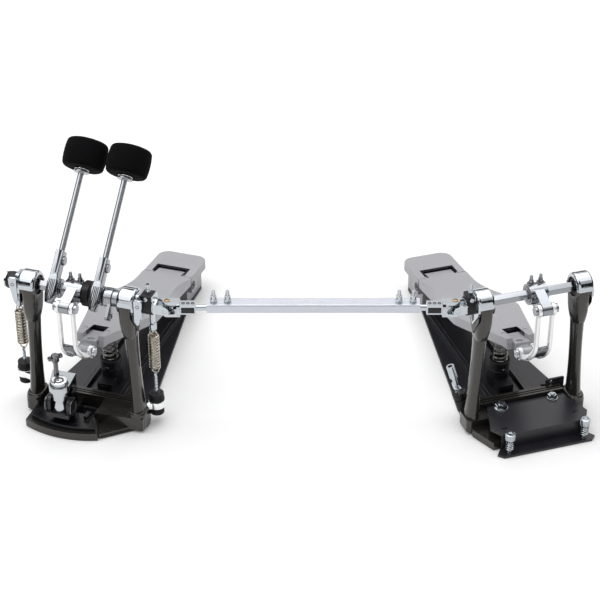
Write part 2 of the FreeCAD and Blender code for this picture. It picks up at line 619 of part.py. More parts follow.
def make_beater_hub(label, x, bracketed=False):
    """Drawn upright about the axle line: the shaft stands in front of the axle."""
    low, high = f"{x} - hub_half", f"{x} + hub_half"
    front, back = "-shaft_offset - hub_depth / 2", "-shaft_offset + hub_depth / 2"
    side = [(front, "hub_top"), (front, "hub_nose - hub_bottom"), (f"{front} + hub_nose", "-hub_bottom"),
            (back, "-hub_bottom"), (back, "hub_top")]
    tower = plate("x", side, low, high)
    eye = rod("x", "hub_ring_radius", low, high)
    bolt = rod("y", "hub_bolt_radius", "0", "hub_ring_radius + hub_bolt_length", x, "0")
    pieces = [tower, eye, bolt]
    if bracketed:
        pieces += hub_bracket(x)
    bore = hexbar("x", "axle_flats + running_fit", f"{low} - overrun",
                  f"{high} + overrun + 2 * bracket_half")
    cuts = [
        rod("z", "shaft_radius + running_fit", "-hub_bottom - overrun", "hub_top + overrun", x,
            "-shaft_offset"),
        block((f"{x} + hub_slot_x", f"{x} + hub_slot_x + hub_slot_width"),
              (f"{front} - overrun", f"{front} + hub_slot_depth"),
              ("hub_slot_foot", "hub_top + overrun")),
    ]
    for index in (-1, 0, 1):
        middle = f"{x} + {index} * hub_rib_pitch"
        cuts.append(block((f"{middle} - hub_rib_width / 2", f"{middle} + hub_rib_width / 2"),
                          (f"{front} - overrun", f"{front} + hub_rib_depth"),
                          ("-hub_bottom - overrun", "hub_rib_top")))
    leaned = cut(fuse(*pieces), *cuts)
    lean = "placement(vector(0; 0; 0); rotation(vector(1; 0; 0); -beater_lean))"
    leaned.setExpression("Placement", bound(lean))
    seat(cut(leaned, bore), label, PRIMARY, ("0", "0", "axle_height"))


def hub_bracket(x):
    """The clevis beside the second hub, with a screw in each cheek."""
    middle = f"{x} + bracket_shift"
    for low, high in ((f"{middle} - bracket_half", f"{middle} - bracket_half + bracket_plate"),
                      (f"{middle} + bracket_half - bracket_plate", f"{middle} + bracket_half")):
        yield rod("x", "hub_ring_radius", low, high)
        points = [("-bracket_depth / 2", "0"), ("-bracket_depth / 2", "-bracket_drop"),
                  ("bracket_depth / 2", "-bracket_drop"), ("bracket_depth / 2", "0")]
        yield plate("x", points, low, high, corner="bracket_screw", corners=(1, 2))
        yield rod("x", "bracket_screw", f"{low} - bracket_screw_head", f"{high} + bracket_screw_head", "0",
                  "bracket_screw - bracket_drop + bracket_screw")
    yield rod("x", "hub_ring_radius", f"{middle} - bracket_half", f"{middle} + bracket_half")


def make_beater(side, x):
    """Shaft with its ferrule, and the felt head on its end."""
    lift = ("0", "0", "axle_height")
    foot = "head_centre - head_length / 2"
    shaft = rod("z", "shaft_radius", "-shaft_tail", f"{foot} + head_bore_depth", x, "-shaft_offset")
    ferrule = rod("z", "ferrule_radius", f"{foot} - ferrule_height", foot, x, "-shaft_offset")
    seat(fuse(shaft, ferrule), f"{side}_beater_shaft", PRIMARY, lift, angle="-beater_lean")
    top = "head_length"
    points = [("0", "0"), ("head_edge_radius", "0"), ("head_edge_radius", top), ("0", top)]
    barrel = turned(points, arcs=[(1, ("head_radius", "head_length / 2"))])
    rounded = soften(barrel, "head_edge_round", lambda edge: edge.Closed)
    bore = rod("z", "shaft_radius + running_fit", "-overrun", "head_bore_depth + running_fit")
    solid = cut(rounded, bore)
    head = put(solid, x, "-shaft_offset", foot)
    seat(group(head), f"{side}_beater_head", PRIMARY, lift, angle="-beater_lean")


def post(side):
    """An oval column that leans in and swells into half of a bearing housing."""
    foot, top = f"{side} * foot_spacing / 2", f"{side} * head_spacing / 2"
    waist = f"{foot} + ({top} - ({foot})) * (post_waist_z - casting_height) / (post_top_z - casting_height)"
    column = loft(
        oval("post_width_foot", "post_depth_foot", foot, "casting_height"),
        oval("post_width_waist", "post_depth_waist", waist, "post_waist_z"),
        oval("post_width_top", "post_depth_top", top, "post_top_z"),
    )
    housing = rod("x", "head_radius_post", f"{top} - head_half", f"{top} + head_half", "0", "axle_height")
    bore = rod("x", "bearing_radius", f"{top} - head_half - overrun", f"{top} + head_half + overrun", "0",
               "axle_height")
    lid = block((f"{top} - 2 * head_half", f"{top} + 2 * head_half"), ("-2 * cap_radius", "2 * cap_radius"),
                ("axle_height", "axle_height + 2 * cap_radius"))
    return cut(fuse(column, housing), bore, lid)


def bearing_cap(side):
    """The upper half of a housing, with a pointed plate over the outer side."""
    top = f"{side} * head_spacing / 2"
    inner, outer = f"{top} - {side} * head_half", f"{top} + {side} * (head_half + side_plate)"
    face = f"{top} + {side} * head_half"
    low, high = (outer, inner) if side == "-1" else (inner, outer)
    shell = soften(rod("x", "cap_radius", low, high, "0", "axle_height"), "cap_round",
                   lambda edge: edge.Closed)
    under = block((f"{top} - 2 * head_half", f"{top} + 2 * head_half"),
                  ("-2 * cap_radius", "2 * cap_radius"),
                  ("axle_height - 2 * cap_radius", "axle_height"))
    dome = cut(shell, under)
    points = [
        ("-side_plate_half", "axle_height + running_fit"), ("side_plate_half", "axle_height + running_fit"),
        ("side_plate_half", "axle_height - side_plate_shoulder"), ("0", "axle_height - side_plate_tip"),
        ("-side_plate_half", "axle_height - side_plate_shoulder"),
    ]
    low, high = (outer, face) if side == "-1" else (face, outer)
    pick = plate("x", points, low, high)
    bore = rod("x", "bearing_radius", f"{top} - 2 * head_half", f"{top} + 2 * head_half", "0",
               "axle_height")
    return cut(fuse(dome, pick), bore)


def bearing(side):
    top = f"{side} * head_spacing / 2"
    return ring("x", "bearing_radius - running_fit / 2", f"{AXLE_CORNER} + running_fit",
                f"{top} - bearing_half",
                f"{top} + bearing_half", "0", "axle_height")


def make_posts(where, label):
    for make, name in ((post, "posts"), (bearing_cap, "bearing_caps"), (bearing, "bearings")):
        seat(group(*(make(side) for side in ("-1", "1"))), f"{label}_{name}", where)


def post_foot(side):
    """The casting's block under one post."""
    x = f"{side} * foot_spacing / 2"
    points = [(f"{x} - foot_half_x", "-foot_half_y"), (f"{x} + foot_half_x", "-foot_half_y"),
              (f"{x} + foot_half_x", "foot_half_y"), (f"{x} - foot_half_x", "foot_half_y")]
    return plate("z", points, "base_thickness", "casting_height", corner="casting_round")


GROOVE_SHARES = (0.3, 0.6)


def cross_bar():
    """The grooved bar between the two feet."""
    reach = "(foot_spacing / 2 - foot_half_x)"
    bar = block((f"-{reach}", reach), ("cross_bar_front", "cross_bar_back"),
                ("cross_bar_bottom", "cross_bar_top"))
    grooves = []
    for share in GROOVE_SHARES:
        y = f"cross_bar_front + (cross_bar_back - cross_bar_front) * {share}"
        grooves.append(block((f"-{reach} - overrun", f"{reach} + overrun"),
                             (f"{y} - cross_bar_groove / 2", f"{y} + cross_bar_groove / 2"),
                             ("cross_bar_top - cross_bar_groove", "cross_bar_top + overrun")))
    return cut(bar, *grooves)


def plate_room():
    """The space that the base plate takes under a casting."""
    return block(("-base_front_half", "base_front_half"),
                 ("-base_ahead", "key_holder_y + 2 * key_holder_radius"), ("-overrun", "base_thickness"))


def make_primary_front():
    """The casting that carries the posts and reaches forward under the drum hoop, and the pad on it."""
    platform_points = [
        ("-platform_left", "-base_ahead"), ("-platform_left", "-platform_left_y"),
        ("platform_right", "-platform_right_y"),
        ("platform_back_right", "-base_ahead"),
    ]
    platform = plate("z", platform_points, "0", "platform_height",
                     arcs=[(1, ("-platform_mid_x", "-platform_front_y"))])
    wing_points = [("0", "-base_ahead"),
                   ("platform_right", "-platform_right_y + wing_serration"),
                   ("wing_tip_x", "0"), ("wing_tip_x", "base_shoulder")]
    wing = plate("z", wing_points, "0", "wing_height")
    arm_points = [("platform_back_right", "-base_ahead - wing_tip_y"), ("wing_tip_x", "-foot_half_y"),
                  ("wing_tip_x", "cross_bar_front"), ("platform_back_right", "cross_bar_front")]
    arm = plate("z", arm_points, "base_thickness", "casting_height")
    column = block(("clamp_x - column_half", "clamp_x + column_half"),
                   ("-base_ahead - wing_tip_y", "cross_bar_front"),
                   ("base_thickness", PLATFORM_TOP))
    casting = fuse(post_foot("-1"), post_foot("1"), cross_bar(), platform, wing, arm, column)
    seat(cut(casting, plate_room()), "primary_front_casting", PRIMARY)
    pad_points = [("-pad_left", "-pad_back_y"), ("-pad_left", "-pad_left_y"), ("pad_right", "-pad_front_y"),
                  ("pad_back_right", "-pad_back_y")]
    pad = plate("z", pad_points, "platform_height", PLATFORM_TOP,
                arcs=[(1, ("-platform_mid_x", "pad_rib - platform_front_y"))])
    rib = block(("pad_back_right - pad_rib", "pad_back_right"),
                ("-pad_back_y - 2 * pad_rib", "-pad_back_y"),
                (PLATFORM_TOP, f"{PLATFORM_TOP} + pad_rib"))
    seat(fuse(pad, rib), "hoop_pad", PRIMARY)


def make_hoop_clamp():
    """A bridge on a column, a jaw on a stem under its nose, and the key that works it."""
    y = "-clamp_y"
    bridge_top = f"{BRIDGE_Z} + bridge_height"
    column = block(("clamp_x - column_half", "clamp_x + column_half"),
                   ("-base_ahead - wing_tip_y", "column_depth - base_ahead - wing_tip_y"),
                   (PLATFORM_TOP, bridge_top))
    beam_points = [("-beam_left", "-beam_back"), ("clamp_x - bridge_half", y), ("clamp_x + bridge_half", y),
                   ("clamp_x + column_half", "-beam_back")]
    beam = plate("z", beam_points, BRIDGE_Z, bridge_top)
    nose = rod("z", "bridge_half", BRIDGE_Z, bridge_top, "clamp_x", y)
    disc = ring("z", "disc_radius", "disc_hole", bridge_top, f"{bridge_top} + disc_height", "clamp_x", y)
    guide = rod("z", "guide_radius", f"{BRIDGE_Z} - guide_height", BRIDGE_Z, "clamp_x", y)
    bore = rod("z", "stem_radius + running_fit", f"{BRIDGE_Z} - guide_height - overrun", BRIDGE_Z,
               "clamp_x", y)
    key_hole = rod("z", "key_radius + running_fit", f"{bridge_top} - bridge_height - key_radius",
                   f"{bridge_top} + overrun",
                   "key_x", "-key_y")
    seat(cut(fuse(column, beam, nose, disc, guide), bore, key_hole), "hoop_clamp_body", PRIMARY)

    floor = block(("clamp_x - jaw_half", "clamp_x + jaw_half"),
                  (f"{y} - jaw_depth / 2", f"{y} + jaw_depth / 2"),
                  (JAW_Z, f"{JAW_Z} + jaw_floor"))
    ears = []
    for side in ("-1", "1"):
        face = f"clamp_x + {side} * jaw_half"
        low, high = (face, f"{face} + jaw_wall") if side == "-1" else (f"{face} - jaw_wall", face)
        ears.append(rod("x", "jaw_ear", low, high, y, f"{JAW_Z} + jaw_height - jaw_ear"))
        ears.append(block((low, high), (f"{y} - jaw_ear", f"{y} + jaw_ear"),
                          (JAW_Z, f"{JAW_Z} + jaw_height - jaw_ear")))
    stem = rod("z", "stem_radius", JAW_Z, f"{BRIDGE_Z} - guide_height / 2", "clamp_x", y)
    seat(fuse(floor, *ears, stem), "hoop_clamp_jaw", PRIMARY)

    foot = f"{bridge_top} - bridge_height"
    key = rod("z", "key_radius", foot, f"{bridge_top} + key_length", "key_x", "-key_y")
    collar = rod("z", "key_collar", f"{bridge_top} + joint_gap", f"{bridge_top} + key_collar", "key_x",
                 "-key_y")
    bar = rod("x", "key_bar_radius", "key_x - key_bar_half", "key_x + key_bar_half", "-key_y",
              f"{bridge_top} + key_length")
    seat(fuse(key, collar, bar), "hoop_clamp_key", PRIMARY)


def biarc(start, start_way, end, end_way):
    """Two arcs that join two points and meet their directions."""
    chord = end - start
    ways = start_way + end_way
    bend = 2 * (1 - start_way.dot(end_way))
    along = chord.dot(ways)
    if bend < 1e-9:
        reach = chord.dot(chord) / (4 * chord.dot(end_way))
    else:
        reach = (math.sqrt(along * along + bend * chord.dot(chord)) - along) / bend
    joint = (start + end + (start_way - end_way) * reach) * 0.5
    return arc_from(start, start_way, joint), arc_from(end, end_way * -1, joint)


def arc_from(start, way, end):
    """The arc that leaves a point in a given direction and ends at another."""
    chord = end - start
    unit = Vector(chord).normalize()
    across = way - unit * way.dot(unit)
    if across.Length < 1e-7:
        return Part.LineSegment(start, end)
    angle = math.atan2(across.Length, way.dot(unit))
    sag = chord.Length / 2 * math.tan(angle / 2)
    return Part.Arc(start, (start + end) * 0.5 + Vector(across).normalize() * sag, end)


QUARTER = math.pi / 2
END_RADIUS_SHARE = 0.62
END_RISE_SHARE = 0.4


def helix_stations(radius, pitch, turns, low):
    """Points and directions at every quarter turn of a helix about z."""
    climb = pitch / (2 * math.pi)
    for quarter in range(int(round(turns * 4)) + 1):
        angle = quarter * QUARTER
        spot = Vector(radius * math.cos(angle), radius * math.sin(angle), low + climb * angle)
        way = Vector(-radius * math.sin(angle), radius * math.cos(angle), climb)
        yield spot, way.normalize()


def drawn_in_end(spot, way, radius, rise):
    """The end of a return spring: a quarter turn that draws in and climbs, then up the middle."""
    inward = Vector(-spot.x, -spot.y, 0).normalize()
    side = Vector(way.x, way.y, 0).normalize()
    first = Vector(0, 0, spot.z) + side * (radius * END_RADIUS_SHARE) + Vector(0, 0, rise * END_RISE_SHARE)
    yield first, (inward - side + Vector(0, 0, 1)).normalize()
    yield Vector(0, 0, spot.z + rise), Vector(0, 0, 1)


def swept_wire(stations, wire, stub=0):
    """One round wire along stations of points and directions, with straight stubs on its ends."""
    edges = []
    first, first_way = stations[0]
    last, last_way = stations[-1]
    if stub:
        edges.append(Part.LineSegment(first - first_way * stub, first).toShape())
    for (start, start_way), (end, end_way) in zip(stations, stations[1:]):
        one, two = biarc(start, start_way, end, end_way)
        edges += [one.toShape(), two.toShape()]
    if stub:
        edges.append(Part.LineSegment(last, last + last_way * stub).toShape())
    path = Part.Wire(Part.__sortEdges__(edges))
    tip = first - first_way * stub
    profile = Part.Wire([Part.Circle(tip, first_way, wire / 2).toShape()])
    return path, path.makePipeShell([profile], True, False)


def least_gap(path, wire, pitch_length):
    """The least clear distance between a wire and itself, on points along its path."""
    points = path.discretize(Distance=wire)
    skip = max(3, int(pitch_length / wire / 2))
    best = min((points[i] - points[j]).Length for i in range(len(points)) for j in range(i + skip,
                                                                                         len(points)))
    return best - wire


def wound(label, where, at, solid):
    """A wound piece as a node of its own."""
    item = doc.addObject("Part::Feature", label)
    item.Shape = solid
    seat(item, label, where, at)


def make_return_spring(label, side):
    """A close wound extension spring whose ends draw in to the middle."""
    wire, radius, pitch = size("spring_wire"), size("spring_radius"), size("spring_pitch")
    turns, rise = size("spring_turns"), size("spring_end_rise")
    stations = list(helix_stations(radius, pitch, turns, 0))
    upper = list(drawn_in_end(*stations[-1], radius, rise))
    spot, way = stations[0]
    lower = [(Vector(p.x, p.y, p.z), d) for p,
             d in drawn_in_end(Vector(spot.x, spot.y, 0), way * -1, radius, rise)]
    flipped = [(Vector(p.x, p.y, -p.z), Vector(-d.x, -d.y, d.z)) for p, d in reversed(lower)]
    path, solid = swept_wire(flipped + stations + upper, wire, size("spring_stub"))
    print(label, "least gap", round(least_gap(path, wire, 2 * math.pi * radius), 3), "mm")
    wound(label, PRIMARY, (SPRING_X[side], SPRING_Y, "spring_top - spring_pitch * spring_turns"), solid)


def make_coil(where, label):
    """An open compression spring between its holder and the footboard."""
    wire, radius, pitch = size("coil_wire"), size("coil_radius"), size("coil_pitch")
    height = size("coil_top_z") - size("coil_foot_z") - wire
    turns = round(4 * height / pitch) / 4
    path, solid = swept_wire(list(helix_stations(radius, height / turns, turns, wire / 2)), wire)
    print(label, "least gap", round(least_gap(path, wire, 2 * math.pi * radius), 3), "mm")
    wound(label, where, ("0", "coil_y", "coil_foot_z"), solid)


def make_coil_holder(where, label):
    foot_points = [("-holder_foot_half", "coil_y - holder_foot_front"),
                   ("holder_foot_half", "coil_y - holder_foot_front"),
                   ("holder_foot_half", "coil_y + holder_foot_back"),
                   ("-holder_foot_half", "coil_y + holder_foot_back")]
    foot = plate("z", foot_points, "base_thickness", "base_thickness + holder_foot_height",
                 corner="holder_round")
    cup = rod("z", "holder_radius", "base_thickness", "coil_foot_z", "0", "coil_y")
    seat(fuse(foot, cup), label, where)


def make_rocker(label, side):
    """The lever on a shaft end that carries the spring's swivel."""
    face = f"{side} * {SHAFT_START}"
    outer = f"{face} + {side} * rocker_plate"
    low, high = (outer, face) if side == "-1" else (face, outer)
    lever_points = [("-rocker_half", "rocker_top"), ("rocker_half", "rocker_top"), ("rocker_half", "0"),
                    ("rocker_tip_half", "-rocker_tip"), ("-rocker_tip_half", "-rocker_tip"),
                    ("-rocker_half", "0")]
    lever = plate("x", lever_points, low, high, corner="rocker_corner", corners=(0, 1, 3, 4))
    y, z = ROCKER_Y, "-rocker_arm * sin(rocker_angle)"
    arm_points = [("0", "rocker_arm_half"), ("0", "-rocker_half"), (y, f"{z} - rocker_arm_half"),
                  (y, f"{z} + rocker_arm_half")]
    arm = plate("x", arm_points, low, high)
    boss = rod("x", "rocker_arm_half", low, high, y, z)
    tip = f"{SPRING_X[side]} + {side} * (swivel_half + swivel_wall)"
    pin_low, pin_high = (tip, face) if side == "-1" else (face, tip)
    pin = rod("x", "rocker_pin", pin_low, pin_high, y, z)
    pieces = [lever, arm, boss, pin]
    if side == "-1":
        pieces.append(rod("x", "rocker_cap", f"{outer} - rocker_cap_length", outer))
    bore = hexbar("x", "axle_flats + running_fit", "-pedal_spacing", "pedal_spacing")
    seat(cut(fuse(*pieces), bore), label, PRIMARY, ("0", "0", "axle_height"))


def make_swivel(label, side):
    """An eye on the rocker pin, a neck, and a foot that takes the spring's end."""
    x = SPRING_X[side]
    hole = "(rocker_pin + pivot_slack)"
    low, high = f"{x} - swivel_half", f"{x} + swivel_half"
    eye = rod("x", f"{hole} + swivel_wall", low, high, SPRING_Y, ROCKER_Z)
    foot_z = "spring_top + spring_end_rise"
    neck = rod("z", "swivel_neck", foot_z, f"{ROCKER_Z} - {hole} - swivel_wall / 2", x, SPRING_Y)
    foot = rod("z", "swivel_foot_radius", f"{foot_z} + spring_wire",
               f"{foot_z} + spring_wire + swivel_foot_height", x, SPRING_Y)
    socket = rod("z", "spring_wire / 2 + running_fit", f"{foot_z} - overrun",
                 f"{foot_z} + spring_stub + running_fit", x, SPRING_Y)
    bore = rod("x", hole, f"{low} - overrun", f"{high} + overrun", SPRING_Y, ROCKER_Z)
    seat(cut(fuse(eye, neck, foot), bore, socket), label, PRIMARY)


def tensioner(side, clip_z):
    """A threaded rod on the spring's lower end, with a knurled nut above the clip and one below."""
    x = SPRING_X[side]
    spring_foot = "(spring_top - spring_pitch * spring_turns - spring_end_rise)"
    shank = rod("z", "tension_rod", f"{clip_z} - lower_nut_height - rod_tail", spring_foot, x, SPRING_Y)
    eye = rod("z", "tension_eye", f"{spring_foot} - spring_stub - tension_eye_height",
              f"{spring_foot} - spring_stub", x, SPRING_Y)
    socket = rod("z", "spring_wire / 2 + running_fit", f"{spring_foot} - spring_stub - running_fit",
                 f"{spring_foot} + overrun",
                 x, SPRING_Y)
    upper = rod("z", "nut_radius", f"{clip_z} + clip_height", f"{clip_z} + clip_height + nut_height", x,
                SPRING_Y)
    lower = rod("z", "nut_radius", f"{clip_z} - lower_nut_height", clip_z, x, SPRING_Y)
    return cut(fuse(shank, eye, upper, lower), socket)


def spring_clip(side, clip_z, root):
    """The band round the rod, on an arm from the post."""
    x = SPRING_X[side]
    top = f"{clip_z} + clip_height"
    band = rod("z", "clip_ring", clip_z, top, x, SPRING_Y)
    start = f"{side} * (foot_spacing / 2 + {root})"
    points = [(start, "-clip_arm_half"), (x, f"{SPRING_Y} - clip_arm_half"),
              (x, f"{SPRING_Y} + clip_arm_half"),
              (start, "clip_arm_half")]
    arm = plate("z", points, clip_z, top)
    bore = rod("z", "tension_rod + running_fit", f"{clip_z} - overrun", f"{top} + overrun", x, SPRING_Y)
    return cut(fuse(band, arm), bore)


def make_slave_front():
    """The slave's casting with the drum key's holder, its front plate and the two spur bolts."""
    plan = [("-slave_front_half", "-base_ahead"), ("-slave_front_half", "-base_ahead - rail_half"),
            ("-slave_toe_half", "-slave_foot_front"), ("slave_toe_half", "-slave_foot_front"),
            ("slave_front_half", "-base_ahead - rail_half"), ("slave_front_half", "-base_ahead")]
    toe = plate("z", plan, "0", "platform_height")
    rest = block(("-foot_spacing / 2", "foot_spacing / 2"), ("-foot_half_y", "cross_bar_front"),
                 ("base_thickness", "front_plate_z"))
    holder = ring("z", "key_holder_radius", "key_shank + running_fit",
                  "key_holder_height - key_seat_depth",
                  "key_holder_height")
    cup = fuse(holder, rod("z", "key_holder_radius", "0", "key_holder_height - key_seat_depth"))
    turn = f"rotation(vector{KEY_AXIS}; key_lean)".replace(",", ";")
    cup.setExpression("Placement",
                      bound(f"placement(vector(-key_holder_x; key_holder_y; base_thickness); {turn})"))
    bridge = block(("-key_holder_x - key_holder_radius", "key_holder_radius - key_holder_x"),
                   ("0", "key_holder_y"),
                   ("base_thickness", "base_thickness + key_holder_radius"))
    casting = fuse(toe, rest, post_foot("-1"), post_foot("1"), cross_bar(), cup, bridge)
    seat(cut(casting, plate_room()), "slave_front_casting", SLAVE)

    top = "front_plate_z + front_plate_thickness"
    left, right = "front_plate_x -", "front_plate_x +"
    plan = [(f"{left} front_plate_back_half", "front_plate_back"),
            (f"{left} front_plate_half", "-front_plate_shoulder"),
            (f"{left} front_plate_neck", "-front_plate_bend"),
            (f"{right} front_plate_neck", "-front_plate_bend"),
            (f"{right} front_plate_half", "-front_plate_shoulder"),
            (f"{right} front_plate_back_half", "front_plate_back")]
    deck = plate("z", plan, "front_plate_z", top)
    wall = block((f"{left} front_plate_neck", f"{right} front_plate_neck"),
                 ("-front_plate_bend - front_plate_thickness", "-front_plate_bend"), ("0", top))
    lip_points = [
        (f"{left} front_plate_neck", "-front_plate_bend"),
        (f"{left} flange_tip_half", "flange_corner - flange_front"),
        (f"{left} flange_tip_half + flange_corner", "-flange_front"),
        (f"{right} flange_tip_half - flange_corner", "-flange_front"),
        (f"{right} flange_tip_half", "flange_corner - flange_front"),
        (f"{right} front_plate_neck", "-front_plate_bend"),
    ]
    lip = plate("z", lip_points, "0", "front_plate_thickness")
    nuts = [rod("z", "plate_nut_radius", top, f"{top} + plate_nut_height", f"{side} plate_nut_x",
                "plate_nut_y")
            for side in (left, right)]
    holes = [rod("z", "spur_radius + running_fit", "-overrun", top, f"{side} spur_x",
                 "-spur_y") for side in (left, right)]
    seat(cut(fuse(deck, wall, lip, *nuts), *holes), "slave_front_plate", SLAVE)
    for side, name in ((left, "left"), (right, "right")):
        shank = rod("z", "spur_radius", "spur_tip_z", "spur_head_z", f"{side} spur_x", "-spur_y")
        knob = rod("z", "spur_head_radius", "spur_head_z", "spur_head_z + spur_head_height",
                   f"{side} spur_x", "-spur_y")
        seat(fuse(shank, knob), f"{name}_spur_bolt", SLAVE)


def make_drum_key():
    """The T key in its holder: shank down, wing just above the rim, and the square socket on top."""
    foot = "key_holder_height - key_seat_depth + joint_gap"
    wing_foot, top = "key_holder_height + key_wing_lift", f"{foot} + drum_key_length"
    shank = rod("z", "key_shank", foot, wing_foot)
    wing = block(("-key_wing_half_depth", "key_wing_half_depth"), ("-key_wing_half", "key_wing_half"),
                 (wing_foot, f"{wing_foot} + key_wing_height"))
    neck = rod("z", "key_neck", wing_foot, top)
    barrel = rod("z", "key_socket", f"{top} - key_socket_length", top)
    square = block(("-key_square_half", "key_square_half"), ("-key_square_half", "key_square_half"),
                   (f"{top} - key_square_depth", f"{top} + overrun"))
    seat(cut(fuse(shank, wing, neck, barrel), square), "drum_key", SLAVE,
         ("-key_holder_x", "key_holder_y", "base_thickness"), KEY_AXIS, "key_lean")


def yoke(across, hand, root):
    """Two ears about a joint's centre and the round web at their root."""
    low, high = (root, "0") if hand == "-1" else ("0", root)
    solids = []
    for side in ("-1", "1"):
        near, far = f"{side} * yoke_inner", f"{side} * (yoke_inner + yoke_ear)"
        gap = (far, near) if side == "-1" else (near, far)
        width = ("-yoke_ear_half", "yoke_ear_half")
        solids.append(block((low, high), gap, width) if across == "y" else block((low, high), width, gap))
        solids.append(rod(across, "yoke_ear_half", *gap))
    web = (root, f"{root} + yoke_ear") if hand == "-1" else (f"{root} - yoke_ear", root)
    solids.append(rod("x", "yoke_inner + yoke_ear", *web))
    return solids


def pin_bore(across, slack):
    reach = "(yoke_inner + yoke_ear + overrun)"
    return rod(across, f"cross_pin + {slack}", f"-{reach}", reach)


def make_cross(where, label, reach):
    """The spider of a joint: a block with a pin on each of its four sides."""
    core = block(("-cross_half", "cross_half"), ("-cross_half", "cross_half"),
                 ("-cross_half", "cross_half"))
    pins = [rod(across, "cross_pin", "-cross_reach", "cross_reach") for across in "yz"]
    seat(fuse(core, *pins), label, where, (reach, "0", "axle_height"))


def make_axle_yoke(where, label, hand, reach, grip):
    """The yoke on a shaft end with its black clamp and key bolt. Drawn about the joint's centre."""
    near, far = f"{hand} * {grip}", f"{hand} * yoke_back"
    low, high = (near, far) if hand == "-1" else (far, near)
    collar = rod("x", "clamp_collar_radius", low, high)
    body = block((low, high), ("-clamp_block_half", "clamp_block_half"), ("0", "clamp_block_top"))
    middle = f"({low} + {high}) / 2"
    bolt = rod("z", "clamp_bolt_radius", "0", "clamp_bolt_top", middle, "0")
    tip = rod("z", "clamp_bolt_neck", "0", "clamp_bolt_tip", middle, "0")
    ends = (f"{near} - overrun", far) if hand == "-1" else (far, f"{near} + overrun")
    bore = hexbar("x", "axle_flats + running_fit", *ends)
    solid = cut(fuse(collar, body, bolt, tip, *yoke("y", hand, far)), bore, pin_bore("y", "running_fit"))
    seat(solid, label, where, (f"{hand} * -{reach}", "0", "axle_height"))


def make_drive_bar():
    """The tube between the two joints, the rods that slide in it and their yokes."""
    length = f"(pedal_spacing - ({PRIMARY_REACH} + {SLAVE_REACH}) * cos(pedal_yaw))"
    left, right = "tube_left_gap", f"({length} - tube_right_gap)"
    front, back = "tube_back - tube_width / 2", "tube_back + tube_width / 2"
    under, foot = "tube_lift - tube_height / 2", "tube_lift + tube_height / 2"
    outer_points = [(front, under), (back, under), (back, foot), (front, foot)]
    outer = plate("x", outer_points, left, right, corner="tube_round")
    bore = rod("x", "rod_radius + running_fit", f"{left} - overrun", f"{right} + overrun")
    spots = [f"{left} + tube_bolt_first", f"{left} + tube_bolt_first + tube_bolt_pitch",
             f"{right} - tube_bolt_first - tube_bolt_pitch", f"{right} - tube_bolt_first"]
    top = f"{foot} + tube_bolt_collar_height"
    seat(cut(outer, bore), "drive_tube", BAR)
    bolts = []
    for spot in spots:
        collar = rod("z", "tube_bolt_collar", foot, top, spot, "tube_back")
        shank = rod("z", "tube_bolt_radius", foot, f"{top} + tube_bolt_shank", spot, "tube_back")
        tip = rod("z", "tube_bolt_neck", foot, f"{foot} + tube_bolt_height", spot, "tube_back")
        bolts.append(fuse(collar, shank, tip))
    seat(group(*bolts), "tube_bolts", BAR)

    for name, where, hand, inside in (("left", BAR, "1", "rod_inside"),
                                      ("right", BAR_END, "-1", "right_rod_inside")):
        gap = "tube_left_gap" if name == "left" else "tube_right_gap"
        low, high = (("socket_start", "socket_end") if hand == "1" else ("-socket_end", "-socket_start"))
        socket = block((low, high), ("-socket_half", "socket_half"), ("-socket_half", "socket_half"))
        far = f"{hand} * ({gap} + {inside})"
        near = f"{hand} * socket_start"
        shaft = rod("x", "rod_radius", *((near, far) if hand == "1" else (far, near)))
        ears = yoke("z", hand, f"{hand} * socket_start")
        seat(cut(fuse(socket, shaft, *ears), pin_bore("z", "joint_gap")), f"{name}_drive_rod", where)


def export():
    """Check every object and every node, then write the nodes."""
    doc.recompute()
    failed = [item.Name for item in doc.Objects if {"Invalid", "Error"} & set(item.State)]
    if failed:
        raise RuntimeError(f"failed objects: {failed}")
    for node in NODES:
        if node.Shape.isNull() or not node.Shape.isValid():
            raise RuntimeError(f"bad shape: {node.Label}")
    os.makedirs("parts", exist_ok=True)
    for node in NODES:
        node.Shape.exportStep(f"parts/{node.Label}.step")
        print(node.Label, len(node.Shape.Solids), "solids", round(node.Shape.Volume), "mm3")
    box = Part.makeCompound([node.Shape for node in NODES]).BoundBox
    print(len(NODES), "nodes; size", [round(value, 1) for value in (box.XLength, box.YLength, box.ZLength)],
          "centre", round(box.Center.x, 2), round(box.Center.y, 2), "floor", round(box.ZMin, 3))


fill_sheet()
PRIMARY = frame("PrimaryFrame", "set_x - pedal_spacing / 2",
                f"set_y + ({PRIMARY_REACH} - {SLAVE_REACH}) * sin(pedal_yaw)", "0",
                "-pedal_yaw")
SLAVE = frame("SlaveFrame", "set_x + pedal_spacing / 2", "set_y", "0", "pedal_yaw")
BAR_Y = f"set_y - {SLAVE_REACH} * sin(pedal_yaw)"
BAR = frame("BarFrame", f"set_x - pedal_spacing / 2 + {PRIMARY_REACH} * cos(pedal_yaw)", BAR_Y,
            "axle_height", "0")
BAR_END = frame("BarEndFrame", f"set_x + pedal_spacing / 2 - {SLAVE_REACH} * cos(pedal_yaw)", BAR_Y,
                "axle_height", "0")

